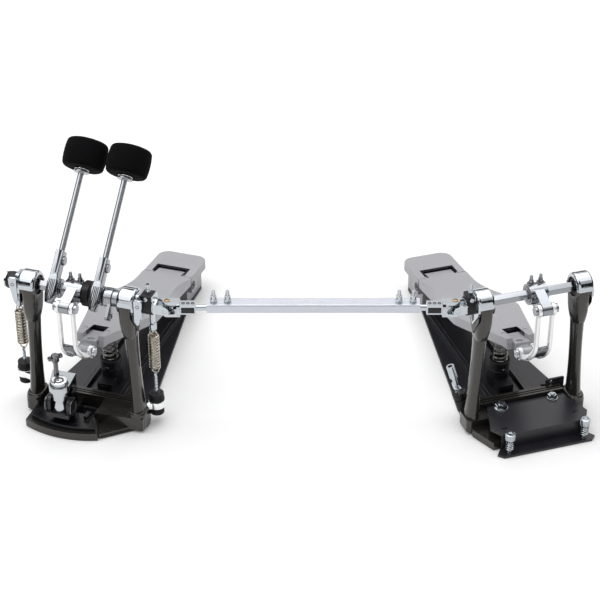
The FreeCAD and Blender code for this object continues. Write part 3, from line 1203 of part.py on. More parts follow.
for pedal, pedal_frame, outward in (("primary", PRIMARY, "-1"), ("slave", SLAVE, "1")):
    make_base_plate(pedal_frame, f"{pedal}_base_plate")
    make_heel_block(pedal_frame, pedal)
    make_footboard(pedal_frame, f"{pedal}_footboard")
    make_slide_adjuster(pedal_frame, f"{pedal}_slide_adjuster")
    make_cam(pedal_frame, f"{pedal}_cam", outward)
    make_link(pedal_frame, f"{pedal}_link", outward)
    make_coil(pedal_frame, f"{pedal}_coil")
    make_coil_holder(pedal_frame, f"{pedal}_coil_holder")
    make_posts(pedal_frame, pedal)
    if pedal == "primary":
        clips = [("-1", "left_clip_z", "left_clip_out"), ("1", "right_clip_z", "right_clip_out")]
        seat(group(*(tensioner(hand, z) for hand, z, root in clips)), "tensioners", PRIMARY)
        seat(group(*(spring_clip(*clip) for clip in clips)), "spring_clips", PRIMARY)

make_axles()
make_primary_front()
make_hoop_clamp()
make_slave_front()
make_drum_key()
for beater_side, beater_x in (("left", "-beater_x_left"), ("right", "beater_x_right")):
    make_beater_hub(f"{beater_side}_beater_hub", beater_x, beater_side == "right")
    make_beater(beater_side, beater_x)
for spring_side, hand in (("left", "-1"), ("right", "1")):
    make_return_spring(f"{spring_side}_spring", hand)
    make_rocker(f"{spring_side}_rocker", hand)
    make_swivel(f"{spring_side}_swivel", hand)
make_axle_yoke(PRIMARY, "primary_joint_yoke", "-1", PRIMARY_REACH, "primary_reach")
make_axle_yoke(SLAVE, "slave_joint_yoke", "1", SLAVE_REACH, "slave_reach")
make_cross(PRIMARY, "primary_joint_cross", PRIMARY_REACH)
make_cross(SLAVE, "slave_joint_cross", f"-{SLAVE_REACH}")
make_drive_bar()
export()
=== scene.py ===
import json
import math

import bpy
from mathutils import Matrix, Vector


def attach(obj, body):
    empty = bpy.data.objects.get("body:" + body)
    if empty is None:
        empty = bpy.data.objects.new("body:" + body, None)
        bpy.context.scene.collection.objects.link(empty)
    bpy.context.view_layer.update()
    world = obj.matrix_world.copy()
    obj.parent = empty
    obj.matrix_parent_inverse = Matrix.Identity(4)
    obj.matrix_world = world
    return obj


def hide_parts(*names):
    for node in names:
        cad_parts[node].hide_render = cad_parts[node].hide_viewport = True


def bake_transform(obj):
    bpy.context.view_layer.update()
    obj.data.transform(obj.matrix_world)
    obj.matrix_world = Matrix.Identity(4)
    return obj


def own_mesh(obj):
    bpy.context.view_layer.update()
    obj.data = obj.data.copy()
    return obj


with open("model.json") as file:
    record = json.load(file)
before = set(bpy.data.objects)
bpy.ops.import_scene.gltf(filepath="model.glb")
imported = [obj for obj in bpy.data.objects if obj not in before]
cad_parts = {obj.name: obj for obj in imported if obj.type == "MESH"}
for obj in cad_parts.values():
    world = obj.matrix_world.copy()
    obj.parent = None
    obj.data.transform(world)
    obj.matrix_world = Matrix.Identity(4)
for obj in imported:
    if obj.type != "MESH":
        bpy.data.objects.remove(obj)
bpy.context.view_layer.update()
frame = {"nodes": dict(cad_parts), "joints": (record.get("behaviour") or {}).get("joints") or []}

NODES = frame["nodes"]
JOINTS = {joint["name"]: joint for joint in frame["joints"]}
MM = 0.001
X_AXIS, Y_AXIS, Z_AXIS = Vector((1, 0, 0)), Vector((0, 1, 0)), Vector((0, 0, 1))
HANDS = (-1, 1)


# Frames of the two pedals and of the drive bar, in millimetres

def pedal_frame(joint_name):
    """A pedal's own frame in the row: x along its axle, z up, origin on the floor below the axle."""
    joint = JOINTS[joint_name]
    across = Vector(joint["axis"]).normalized()
    matrix = Matrix((across, Z_AXIS.cross(across), Z_AXIS)).transposed().to_4x4()
    spot = Vector(joint["pos_m"])
    matrix.translation = (spot.x, spot.y, 0)
    return matrix @ Matrix.Scale(MM, 4)


PRIMARY = pedal_frame("primary_axle_turn")
SLAVE = pedal_frame("slave_axle_turn")
PEDALS = {"primary": PRIMARY, "slave": SLAVE}
BAR_START = JOINTS["drive_tube_turn"]["pos_m"]
BAR = Matrix.Translation(BAR_START) @ Matrix.Scale(MM, 4)
BAR_LENGTH = (JOINTS["slave_rod_turn"]["pos_m"][0] - BAR_START[0]) / MM
AXLE_HEIGHT = JOINTS["primary_axle_turn"]["pos_m"][2] / MM


# Shader maths

class Value:
    """A shader socket that takes part in sums."""

    def __init__(self, nodes, socket):
        self.nodes = nodes
        self.socket = socket

    def math(self, operation, other):
        return self.nodes.node("ShaderNodeMath", {"operation": operation}, {0: self, 1: other})

    def __add__(self, other):
        return self.math("ADD", other)

    def __mul__(self, other):
        return self.math("MULTIPLY", other)

    __radd__ = __add__
    __rmul__ = __mul__


class Nodes:
    """The nodes of a material or of the world."""

    def __init__(self, tree):
        self.tree = tree

    def node(self, kind, settings=None, sockets=None, output=0):
        """Any node: its settings first, then the values or links of its sockets."""
        made = self.tree.nodes.new(kind)
        for name, value in (settings or {}).items():
            setattr(made, name, value)
        for key, value in (sockets or {}).items():
            self.feed(made.inputs[key], value)
        return Value(self, made.outputs[output])

    def feed(self, socket, value):
        if isinstance(value, Value):
            self.tree.links.new(value.socket, socket)
        else:
            socket.default_value = value

    def ramp(self, value, low, high, dark, light):
        """A value spread between two levels, as a share from dark to light."""
        return self.node("ShaderNodeMapRange", sockets={
            "Value": value, "From Min": low, "From Max": high, "To Min": dark, "To Max": light})

    def seen(self):
        """1 where the camera, metal or glass looks, 0 for the light that falls on the pedals."""
        camera, glossy, through = (self.node("ShaderNodeLightPath", output=f"Is {ray} Ray")
                                   for ray in ("Camera", "Glossy", "Transmission"))
        return camera.math("MAXIMUM", glossy).math("MAXIMUM", through)


class Finish(Nodes):
    """A procedural material, built on one principled shader."""

    def __init__(self, name, **constants):
        self.name = name
        self.material = bpy.data.materials.new(name)
        self.material.use_nodes = True
        super().__init__(self.material.node_tree)
        self.shader = self.tree.nodes["Principled BSDF"]
        for socket, value in constants.items():
            self.set(socket.replace("_", " "), value)

    def set(self, socket, value):
        self.feed(self.shader.inputs[socket], value)
        return self

    def marks(self, source):
        """A value as it is, or noise from 0 to 1 of a grain."""
        if isinstance(source, Value):
            return source
        size, stretch, detail = source
        spot = self.node("ShaderNodeTexCoord", output="Object")
        spread = self.node("ShaderNodeMapping", sockets={"Vector": spot, "Scale": stretch})
        return self.node("ShaderNodeTexNoise", sockets={
            "Vector": spread, "Scale": 1 / size, "Detail": detail})

    def tint(self, source, first, second):
        """A colour between two."""
        return self.node("ShaderNodeMix", {"data_type": "RGBA"}, {
            0: self.marks(source), 6: (*first, 1), 7: (*second, 1)}, output=2)

    def colour(self, source, first, second):
        return self.set("Base Color", self.tint(source, first, second))

    def polish(self, source, smooth, rough, low=0.3, high=0.7):
        """Roughness that follows noise, most of which lies between two levels."""
        return self.set("Roughness", self.ramp(self.marks(source), low, high, smooth, rough))

    def bump(self, source, depth, strength):
        """Raise the surface by a share of a depth in metres."""
        return self.set("Normal", self.node("ShaderNodeBump", sockets={
            "Height": self.marks(source), "Distance": depth, "Strength": strength}))


def grain(size, stretch=(1, 1, 1), detail=3.0):
    """Noise whose blobs are about one size across, in metres."""
    return size, stretch, detail


# Finishes

def felt():
    """Dense black felt: short fibres, no gloss."""
    finish = Finish("felt", Sheen_Weight=0.01, Sheen_Roughness=0.5, Specular_IOR_Level=0.08)
    fibre = finish.marks(grain(0.0007, (1, 1, 0.5), detail=6.0))
    tuft = finish.marks(grain(0.004, detail=4.0))
    finish.colour(fibre, (0.0012, 0.0012, 0.0015), (0.005, 0.005, 0.006))
    finish.polish(fibre, 0.85, 1.0)
    return finish.bump(fibre * 0.6 + tuft * 0.4, 0.0004, 0.7)


FINISHES = {finish.name: finish.material for finish in (
    # Powder coated sheet: nearly black, satin, with a fine orange peel
    Finish("black_steel", Specular_IOR_Level=0.5)
    .colour(grain(0.05), (0.0105, 0.0105, 0.0145), (0.017, 0.017, 0.0225))
    .polish(grain(0.05), 0.27, 0.36)
    .bump(grain(0.0006, detail=2.0), 0.00004, 0.5),
    # Dark metallic coat on the castings and posts, a little brown
    Finish("gunmetal", Metallic=0.7, Specular_IOR_Level=0.4, Coat_Weight=0.5, Coat_Roughness=0.08)
    .colour(grain(0.0004, detail=1.0), (0.03, 0.0285, 0.026), (0.072, 0.068, 0.061))
    .polish(grain(0.03), 0.2, 0.28)
    .bump(grain(0.0012), 0.00003, 0.4),
    # Blasted and clear coated footboard: pale grey with a trace of violet
    Finish("board_alloy", Metallic=0.35, IOR=1.45)
    .colour(grain(0.06), (0.43, 0.43, 0.455), (0.485, 0.485, 0.51))
    .polish(grain(0.0005, detail=2.0), 0.36, 0.48)
    .bump(grain(0.0005, detail=2.0), 0.00003, 0.5),
    # Bright plating with the faintest handling marks
    Finish("chrome", Metallic=1.0, Base_Color=(0.5, 0.53, 0.56, 1))
    .polish(grain(0.012, (1, 1, 0.4)), 0.06, 0.14, low=0.4),
    # Chrome plating made nearly white where it faces the light: a lit copy of the chrome, painted light
    Finish("lit_chrome", Metallic=1.0, Base_Color=(0.9, 0.91, 0.92, 1))
    .polish(grain(0.01), 0.08, 0.16, low=0.4),
    # Black nickel plating
    Finish("dark_chrome", Metallic=1.0)
    .colour(grain(0.01), (0.15, 0.15, 0.16), (0.2, 0.2, 0.21))
    .polish(grain(0.01), 0.14, 0.24),
    # Buffed aluminium: brighter and softer than the plating
    Finish("polished_alloy", Metallic=0.85, Base_Color=(0.86, 0.865, 0.87, 1))
    .polish(grain(0.004, (1, 1, 0.15)), 0.26, 0.36)
    .bump(grain(0.0008, (1, 1, 0.05)), 0.00002, 0.3),
    # Drawn and anodised bar: fine lines run along it
    Finish("satin_alloy", Metallic=0.8, Base_Color=(0.6, 0.62, 0.67, 1))
    .polish(grain(0.0007, (0.02, 1, 1)), 0.24, 0.38)
    .bump(grain(0.0007, (0.02, 1, 1)), 0.00002, 0.4),
    # Drawn beater rod: grey, with fine lines along it
    Finish("shaft_steel", Metallic=1.0, Base_Color=(0.42, 0.435, 0.46, 1))
    .polish(grain(0.0007, (1, 0.05, 0.05)), 0.26, 0.36),
    # Ground bar: grey, with fine marks round it
    Finish("ground_steel", Metallic=1.0, Base_Color=(0.29, 0.305, 0.325, 1))
    .polish(grain(0.0008, (1, 0.1, 0.1)), 0.1, 0.18),
    # Nickel plated wire, gone a little brown
    Finish("spring_steel", Metallic=1.0)
    .colour(grain(0.006), (0.42, 0.38, 0.32), (0.56, 0.53, 0.47))
    .polish(grain(0.006), 0.2, 0.32),
    # Oiled dark spring wire
    Finish("coil_steel", Metallic=1.0)
    .colour(grain(0.006), (0.16, 0.155, 0.15), (0.25, 0.24, 0.23))
    .polish(grain(0.006), 0.18, 0.28),
    # Dull bearing bronze
    Finish("brass", Metallic=1.0)
    .colour(grain(0.005), (0.26, 0.18, 0.09), (0.36, 0.26, 0.14))
    .polish(grain(0.005), 0.28, 0.4),
    # Moulded black, with a light texture
    Finish("black_plastic", Specular_IOR_Level=0.3)
    .colour(grain(0.02), (0.006, 0.006, 0.008), (0.011, 0.011, 0.013))
    .polish(grain(0.0007, detail=2.0), 0.36, 0.5)
    .bump(grain(0.0007, detail=2.0), 0.00004, 0.5),
    # Smooth black rubber, nearly glossy
    Finish("pad_rubber", Specular_IOR_Level=0.4)
    .colour(grain(0.015), (0.003, 0.003, 0.005), (0.006, 0.006, 0.009))
    .polish(grain(0.015), 0.2, 0.3)
    .bump(grain(0.004), 0.00006, 0.4),
    felt(),
)}


# Finishes and soft edges of the CAD nodes that are shown or copied

def pair(kind):
    """The nodes of one kind on the two pedals."""
    return f"primary_{kind}", f"slave_{kind}"


def sided(kind):
    """The nodes of one kind on the left and on the right."""
    return f"left_{kind}", f"right_{kind}"


NODE_FINISH = {
    "black_steel": (*pair("base_plate"), "slave_front_plate", "hoop_clamp_jaw"),
    "gunmetal": (*pair("front_casting"), *pair("posts")),
    "board_alloy": (*pair("footboard"), *pair("heel_block"), *pair("slide_adjuster")),
    "chrome": (*pair("bearing_caps"), *pair("joint_yoke"), *pair("joint_cross"), *sided("rocker"),
               *sided("drive_rod"), "right_beater_hub", "hoop_clamp_body", "drum_key", "tube_bolts"),
    "satin_alloy": ("drive_tube",),
    "ground_steel": (*pair("cam"), *pair("axle"), *pair("hinge_pin"), "second_shaft"),
    "shaft_steel": sided("beater_shaft"),
    "black_plastic": (*pair("coil_holder"), *pair("bearings")),
    "pad_rubber": ("hoop_pad",),
}
NODE_EDGE = 0.5 * MM
WELD_REACH = 0.01 * MM
FLAT_ANGLE = math.radians(1)
CREASE_ANGLE = math.radians(38)


def deselect():
    bpy.ops.object.select_all(action="DESELECT")


def activate(piece):
    deselect()
    piece.select_set(True)
    bpy.context.view_layer.objects.active = piece


def coat(piece, finish):
    piece.data.materials.clear()
    piece.data.materials.append(FINISHES[finish])


def dress_node(name, finish):
    """Give a CAD node its finish and softly rounded edges."""
    piece = NODES[name]
    activate(piece)
    bpy.ops.mesh.customdata_custom_splitnormals_clear()
    bpy.ops.object.shade_smooth()
    coat(piece, finish)
    weld = piece.modifiers.new("Weld", "WELD")
    weld.merge_threshold = WELD_REACH
    flat = piece.modifiers.new("Flat", "DECIMATE")
    flat.decimate_type = "DISSOLVE"
    flat.angle_limit = FLAT_ANGLE
    soft = piece.modifiers.new("Edges", "BEVEL")
    soft.width = NODE_EDGE
    soft.segments = 2
    soft.limit_method = "ANGLE"
    soft.angle_limit = CREASE_ANGLE
    piece.modifiers.new("Normals", "WEIGHTED_NORMAL")


for finish_name, node_names in NODE_FINISH.items():
    for node_name in node_names:
        dress_node(node_name, finish_name)


# Modelling, in millimetres of one frame

MERGE_REACH = 0.001
SOFT_ANGLE = math.radians(35)
SIDE_SLANT = 0.2


def edit(parts="VERT"):
    bpy.ops.object.mode_set(mode="EDIT")
    bpy.ops.mesh.select_mode(type=parts)


def select_all():
    bpy.ops.mesh.select_all(action="SELECT")


def edit_all():
    edit()
    select_all()


def push(move):
    """Extrude what is selected."""
    bpy.ops.mesh.extrude_region_move(TRANSFORM_OT_translate={"value": move})


def leave():
    bpy.ops.object.mode_set(mode="OBJECT")


def fix(piece):
    """Put a piece's place, turn and scale into its mesh."""
    activate(piece)
    bpy.ops.object.transform_apply()


def outward():
    """Merge doubles of the active piece and point every face outwards."""
    edit_all()
    bpy.ops.mesh.remove_doubles(threshold=MERGE_REACH)
    bpy.ops.mesh.normals_make_consistent(inside=False)
    leave()


def aim(piece, spot, along):
    """Stand a piece that was made on the z axis at a spot, along a direction."""
    piece.location = spot
    piece.rotation_euler = Vector(along).to_track_quat("Z", "Y").to_euler()
    fix(piece)
    return piece


def turned(spot, along, steps, sides=40, hollow=False):
    """A turned piece: a disc or a bare circle pushed out in steps, each a rise and a radius."""
    deselect()
    radius = steps[0][1]
    fill = "NOTHING" if hollow else "NGON"
    bpy.ops.mesh.primitive_circle_add(vertices=sides, radius=radius, fill_type=fill)
    piece = bpy.context.object
    edit_all()
    height = 0
    for rise, size in steps[1:]:
        height += rise
        push((0, 0, rise))
        share = size / radius
        bpy.ops.transform.resize(value=(share, share, 1), center_override=(0, 0, height))
        radius = size
    leave()
    outward()
    return aim(piece, spot, along)


def rounded_steps(radius, length, edge):
    """Steps of a disc with quarter-round edges."""
    turns = [math.radians(angle) for angle in (0, 30, 60, 90)]
    flat = radius - edge
    steps = [(0, flat)]
    for before, after in zip(turns, turns[1:]):
        steps.append((edge * (math.cos(before) - math.cos(after)), flat + edge * math.sin(after)))
    steps.append((length - 2 * edge, radius))
    for before, after in zip(turns, turns[1:]):
        steps.append((edge * (math.sin(after) - math.sin(before)), flat + edge * math.cos(after)))
    return steps


def disc(spot, along, radius, length, edge=0.6, sides=40):
    """A disc or bar with rounded edges."""
    return turned(spot, along, rounded_steps(radius, length, edge), sides)


def ring(spot, along, radius, hole, length, edge=0.6, sides=40):
    """A ring with rounded outer edges."""
    steps = [(0, hole)] + rounded_steps(radius, length, edge) + [(0, hole), (-length, hole)]
    return turned(spot, along, steps, sides, hollow=True)


def bolt_head(spot, along, radius, height, chamfer, socket, sides=24):
    """A bolt head: a chamfer is its rise and top radius, a socket its mouth, depth and floor."""
    rise, top = chamfer
    mouth, depth, floor = socket
    steps = [(0, radius), (height, radius), (rise, top), (0, mouth), (-depth, floor)]
    return turned(spot, along, steps, sides)


def wire_eye(spot, radius, thickness):
    """A round eye of wire that stands across the axle."""
    deselect()
    bpy.ops.mesh.primitive_torus_add(location=spot, rotation=(0, math.pi / 2, 0), major_radius=radius,
                                     minor_radius=thickness, major_segments=28, minor_segments=10)
    bpy.ops.object.transform_apply()
    return bpy.context.object


def slab(low, high):
    """A block between two corners."""
    low, high = Vector(low), Vector(high)
    deselect()
    bpy.ops.mesh.primitive_cube_add(size=1, location=(low + high) / 2, scale=high - low)
    bpy.ops.object.transform_apply()
    return bpy.context.object


ACROSS = {"x": Matrix(((0, 0, 1), (1, 0, 0), (0, 1, 0))).to_4x4(),
          "y": Matrix(((1, 0, 0), (0, 0, 1), (0, 1, 0))).to_4x4(),
          "z": Matrix.Identity(4)}


def plate(points, low, high, axis="z", corner=0.0):
    """An outline pushed out along an axis, with its corners rounded."""
    deselect()
    bpy.ops.mesh.primitive_circle_add(vertices=len(points), fill_type="NGON")
    piece = bpy.context.object
    for vertex, (first, second) in zip(piece.data.vertices, points):
        vertex.co = (first, second, low)
    edit_all()
    if corner:
        bpy.ops.mesh.bevel(offset=corner, segments=5, affect="VERTICES")
        select_all()
    push((0, 0, high - low))
    leave()
    piece.matrix_world = ACROSS[axis]
    bpy.ops.object.transform_apply()
    outward()
    return piece


def wire(points, radius, rounding=2):
    """A round wire along points."""
    curve = bpy.data.curves.new("wire", "CURVE")
    curve.dimensions = "3D"
    curve.bevel_depth = radius
    curve.bevel_resolution = rounding
    curve.use_fill_caps = True
    spline = curve.splines.new("POLY")
    spline.points.add(len(points) - 1)
    for point, place in zip(spline.points, points):
        point.co = (*place, 1)
    piece = bpy.data.objects.new("wire", curve)
    bpy.context.scene.collection.objects.link(piece)
    activate(piece)
    bpy.ops.object.convert(target="MESH")
    piece = bpy.context.object
    outward()
    return piece


def helix(middle, radius, foot, top, turns, steps=20):
    """Points of a helix about a vertical line."""
    count = int(turns * steps)
    places = []
    for index in range(count + 1):
        angle = 2 * math.pi * index / steps
        places.append((middle[0] + radius * math.cos(angle), middle[1] + radius * math.sin(angle),
                       foot + (top - foot) * index / count))
    return places


def join(*pieces):
    deselect()
    for piece in pieces:
        piece.select_set(True)
    bpy.context.view_layer.objects.active = pieces[0]
    bpy.ops.object.join()
    return pieces[0]


def apply(piece, modifier):
    activate(piece)
    bpy.ops.object.modifier_apply(modifier=modifier.name)
    return piece


def carve(piece, tool):
    """Cut a tool out of a piece."""
    cut = piece.modifiers.new("Cut", "BOOLEAN")
    cut.object = tool
    apply(piece, cut)
    bpy.data.objects.remove(tool)
    return piece


def soften(piece, width, segments=2):
    """Round a piece's edges."""
    soft = piece.modifiers.new("Soft", "BEVEL")
    soft.width = width
    soft.segments = segments
    soft.angle_limit = SOFT_ANGLE
    return apply(piece, soft)


def fluted(piece, middle, along, depth, foot, top):
    """Press every second side face of a turned piece in, between two heights along its axis."""
    line = Vector(along).normalized()
    side = line.orthogonal()
    other = line.cross(side)
    faces = []
    for face in piece.data.polygons:
        away = face.center - Vector(middle)
        if abs(face.normal.dot(line)) < SIDE_SLANT and foot < away.dot(line) < top:
            faces.append((math.atan2(away.dot(other), away.dot(side)), face.index))
    chosen = {index for place, (angle, index) in enumerate(sorted(faces)) if place % 2}
    activate(piece)
    edit("FACE")
    bpy.ops.mesh.select_all(action="DESELECT")
    leave()
    for face in piece.data.polygons:
        face.select = face.index in chosen
    edit("FACE")
    bpy.ops.mesh.inset(thickness=depth / 2, depth=-depth, use_individual=True)
    leave()
    return piece


def settle(name, where, body, finish, *pieces, replaced=()):
    """Join pieces, move them from their frame to the row, and give them a name, a finish and a body."""
    piece = join(*pieces) if len(pieces) > 1 else pieces[0]
    piece.matrix_world = where
    fix(piece)
    bpy.ops.object.shade_smooth_by_angle(angle=CREASE_ANGLE)
    piece.name = name
    piece.data.name = name
    coat(piece, finish)
    if body:
        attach(piece, body)
    if replaced:
        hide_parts(*replaced)


# Places on the pedals, in millimetres of a pedal's own frame

SPRING_X = {"left": -98.5, "right": 90.5}
SPRING_Y, SPRING_FOOT, SPRING_TOP = 19.27, 85.1, 135.5
CLIP_Z, CLIP_HEIGHT = {"left": 34, "right": 23}, 11
ROCKER_PIN_Z = 187.5
POST_TOP_X, POST_FOOT_X = 67, 73
CAM_SIDE = 6
BEATER_X, BEATER_Y = {"left": -32, "right": 28.5}, -13
HUB_BODY = {"left": "primary_axle", "right": "second_shaft"}


def leaned(where, spot, degrees):
    """A frame at a spot of another, leaned back by an angle."""
    return where @ Matrix.Translation(spot) @ Matrix.Rotation(-math.radians(degrees), 4, "X")


BEATER = leaned(PRIMARY, (0, 0, AXLE_HEIGHT), 44)
BOARD = {name: leaned(where, (0, 22, 116), 13.3) for name, where in PEDALS.items()}
HEEL = {name: leaned(where, (0, 288.65, 52.97), 5.2) for name, where in PEDALS.items()}
KEY_HOLDER = (SLAVE @ Matrix.Translation((-70, 23, 4))
              @ Matrix.Rotation(math.radians(18), 4, Vector((-1, -2, 0)).normalized()))


# Springs and their fittings

SPRING_RADIUS, SPRING_WIRE, SPRING_TURNS = 6.5, 1.0, 22
HOOK_RADIUS, HOOK_LIFT = 4.6, 3.4
NUT_HEIGHT, LOWER_NUT_HEIGHT, NUT_FLUTES = 11, 10, 30
TENSION_SCREW_TOP, TENSION_EYE_Z, SWIVEL_EYE_Z = 72, 74.6, 143.2
LEVER_DEPTH = 4.5


def return_spring(side):
    """A close wound spring whose last turns stand up as hooks."""
    x, lower, upper = SPRING_X[side], [], []
    for degrees in range(0, 330, 15):
        angle = math.radians(degrees)
        across = x + HOOK_RADIUS * math.cos(angle)
        away = HOOK_LIFT + HOOK_RADIUS * math.sin(angle)
        lower.append((across, SPRING_Y, SPRING_FOOT - away))
        upper.append((across, SPRING_Y, SPRING_TOP + away))
    body = helix((x, SPRING_Y), SPRING_RADIUS, SPRING_FOOT, SPRING_TOP, SPRING_TURNS)
    piece = wire(lower[::-1] + body + upper, SPRING_WIRE)
    settle(f"{side}_return_spring", PRIMARY, None, "spring_steel", piece, replaced=(f"{side}_spring",))
    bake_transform(piece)


def threaded(x, y, foot, top, radius, pitch):
    """A rod with a rolled thread."""
    core = disc((x, y, foot), Z_AXIS, radius - 0.25, top - foot, 0.4, 20)
    turns = (top - foot) / pitch - 2
    thread = wire(helix((x, y), radius - 0.3, foot + pitch, top - pitch, turns, 14), 0.35)
    return join(core, thread)


def knurled_nut(spot, radius, height, rim=1.0):
    """A black hand nut: fluted barrel between two plain rims."""
    piece = turned(spot, Z_AXIS, rounded_steps(radius, height, rim), 2 * NUT_FLUTES)
    return fluted(piece, spot, Z_AXIS, 0.5, rim, height - rim)


def tensioner(side):
    """The spring's screw, with a hand nut above and below the clip band."""
    x, y, z = SPRING_X[side], SPRING_Y, CLIP_Z[side]
    top = z + CLIP_HEIGHT
    screw = threaded(x, y, z - 13, TENSION_SCREW_TOP, 2.2, 1.1)
    eye = wire_eye((x, y, TENSION_EYE_Z), 2.7, 1.1)
    replaced = ("tensioners", "spring_clips") if side == "left" else ()
    settle(f"{side}_tension_screw", PRIMARY, "primary_base", "chrome", screw, eye, replaced=replaced)
    upper = knurled_nut((x, y, top), 9.8, NUT_HEIGHT)
    rim = disc((x, y, top + 0.6), Z_AXIS, 10.6, 2.6, 0.8)
    dome = turned((x, y, top + NUT_HEIGHT), Z_AXIS, [(0, 7.4), (0.9, 6.6), (0.7, 4.8), (0.3, 2.6)])
    settle(f"{side}_upper_nut", PRIMARY, "primary_base", "black_plastic", upper, rim, dome)
    lower = knurled_nut((x, y, z - LOWER_NUT_HEIGHT), 9.4, LOWER_NUT_HEIGHT)
    settle(f"{side}_lower_nut", PRIMARY, "primary_base", "black_plastic", lower)
    band = ring((x, y, z + 0.4), Z_AXIS, 11.2, 3.2, CLIP_HEIGHT - 1, 1.0)
    root = math.copysign(POST_FOOT_X + 8.6, x)
    arm = plate([(root, 5), (x, y - 10), (x, y + 8), (root, 15)], z + 0.9, top - 1.1)
    # the clip band is in the lit copy of the chrome: painted light
    settle(f"{side}_clip_band", PRIMARY, "primary_base", "lit_chrome", band, soften(arm, 0.8))


def swivel(side):
    """Two cheeks on the rocker pin, a cross pin and the eye that takes the spring's hook."""
    x, y, z = SPRING_X[side], SPRING_Y, ROCKER_PIN_Z
    outline = [(y - 6.2, z + 6.4), (y + 6.2, z + 6.4), (y + 4.4, z - 16), (y - 4.4, z - 16)]
    cheeks = []
    for low, high in ((x - 5.2, x - 3.0), (x + 3.0, x + 5.2)):
        cheek = plate(outline, low, high, "x", 3.8)
        bore = disc((low - 1, y, z), X_AXIS, 4.4, 3.6, 0.2, 28)
        cheeks.append(soften(carve(cheek, bore), 0.35))
    spacer = ring((x - 3.1, y, z - 9.5), X_AXIS, 2.6, 1.0, 6.2, 0.3, 20)
    pin = disc((x - 6.6, y, z - 12.4), X_AXIS, 2.6, 13.2, 0.6, 24)
    foot = SWIVEL_EYE_Z + 4.8
    bar = plate([(y - 3.2, z - 8.8), (y + 3.2, z - 8.8), (y + 3.0, foot), (y - 3.0, foot)],
                x - 2.8, x + 2.8, "x", 2.4)
    barrel = disc((x, y, SWIVEL_EYE_Z + 1.6), Z_AXIS, 5.0, 9.0, 0.9, 32)
    eye = wire_eye((x, y, SWIVEL_EYE_Z), 2.4, 1.0)
    settle(f"{side}_spring_swivel", PRIMARY, f"{side}_swivel", "chrome", *cheeks, spacer, pin,
           soften(bar, 0.5), barrel, eye, replaced=(f"{side}_swivel",))


def rocker_lever(side, hand, front):
    """The wedge on the front of a spring rocker, with its set screw."""
    back = front + LEVER_DEPTH
    outline = [(80.8, 207), (83, 208.5), (91, 208.5), (92.4, 206), (92.2, 199), (87, 172),
               (84.6, 170), (80.8, 176)]
    wedge = soften(plate([(hand * x, z) for x, z in outline], front, back, "y"), 0.9, 3)
    inner, outer = sorted((hand * 80.9, hand * 84.8))
    root = soften(slab((inner, back - 1, 181), (outer, -6, 204)), 0.8)
    settle(f"{side}_rocker_lever", PRIMARY, HUB_BODY[side], "chrome", wedge, root)
    steps = [(0, 2.6), (0.5, 2.6), (0, 1.7), (-0.9, 1.5)]
    screw = turned((hand * 86.4, front + 0.2, 199), -Y_AXIS, steps, 24)
    settle(f"{side}_rocker_screw", PRIMARY, HUB_BODY[side], "dark_chrome", screw)


COIL_Y, COIL_FOOT, COIL_TOP = 78, 44, 85
COIL_RADIUS, COIL_WIRE, COIL_FLAT, COIL_TURNS = 9.2, 1.3, 0.6, 5


def board_coil(name):
    """The open coil under a footboard, with a flat turn at each end."""
    where = PEDALS[name]
    foot, top = COIL_FOOT + COIL_WIRE, COIL_TOP - COIL_WIRE
    levels = (foot, foot + COIL_FLAT, top - COIL_FLAT, top)
    below, body, above = (helix((0, COIL_Y), COIL_RADIUS, low, high, turns, 24)
                          for low, high, turns in zip(levels, levels[1:], (1, COIL_TURNS, 1)))
    piece = wire(below[:-1] + body + above[1:], COIL_WIRE)
    settle(f"{name}_board_coil", where, f"{name}_base", "coil_steel", piece, replaced=(f"{name}_coil",))
    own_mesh(piece)


def coil_fittings(name):
    """Rim, screw and foot plate on the cup that holds the coil."""
    where, body = PEDALS[name], f"{name}_base"
    rim = ring((0, COIL_Y, COIL_FOOT - 5), Z_AXIS, 14.6, 8.2, 6.2, 1.2)
    belt = ring((0, COIL_Y, 26), Z_AXIS, 14.0, 13.2, 5, 0.8)
    settle(f"{name}_cup_rim", where, body, "black_plastic", rim, belt)
    screw = bolt_head((0, COIL_Y - 13.2, 33), -Y_AXIS, 3.0, 1.0, (0.4, 2.4), (1.3, 0.8, 1.1))
    settle(f"{name}_cup_screw", where, body, "dark_chrome", screw)
    foot = soften(slab((-7, COIL_Y - 28.2, 6), (7, COIL_Y - 26.4, 14)), 0.6)
    settle(f"{name}_cup_foot_plate", where, body, "pad_rubber", foot)


# Beaters

HEAD_FOOT, HEAD_LENGTH, HEAD_EDGE = 156.4, 37.0, 5.5
HEAD_END_RADIUS, HEAD_RADIUS = 27.4, 28.4
TUFT_SIZE, TUFT_HEIGHT, TUFT_LEVEL = 3.0, 0.5, 0.6


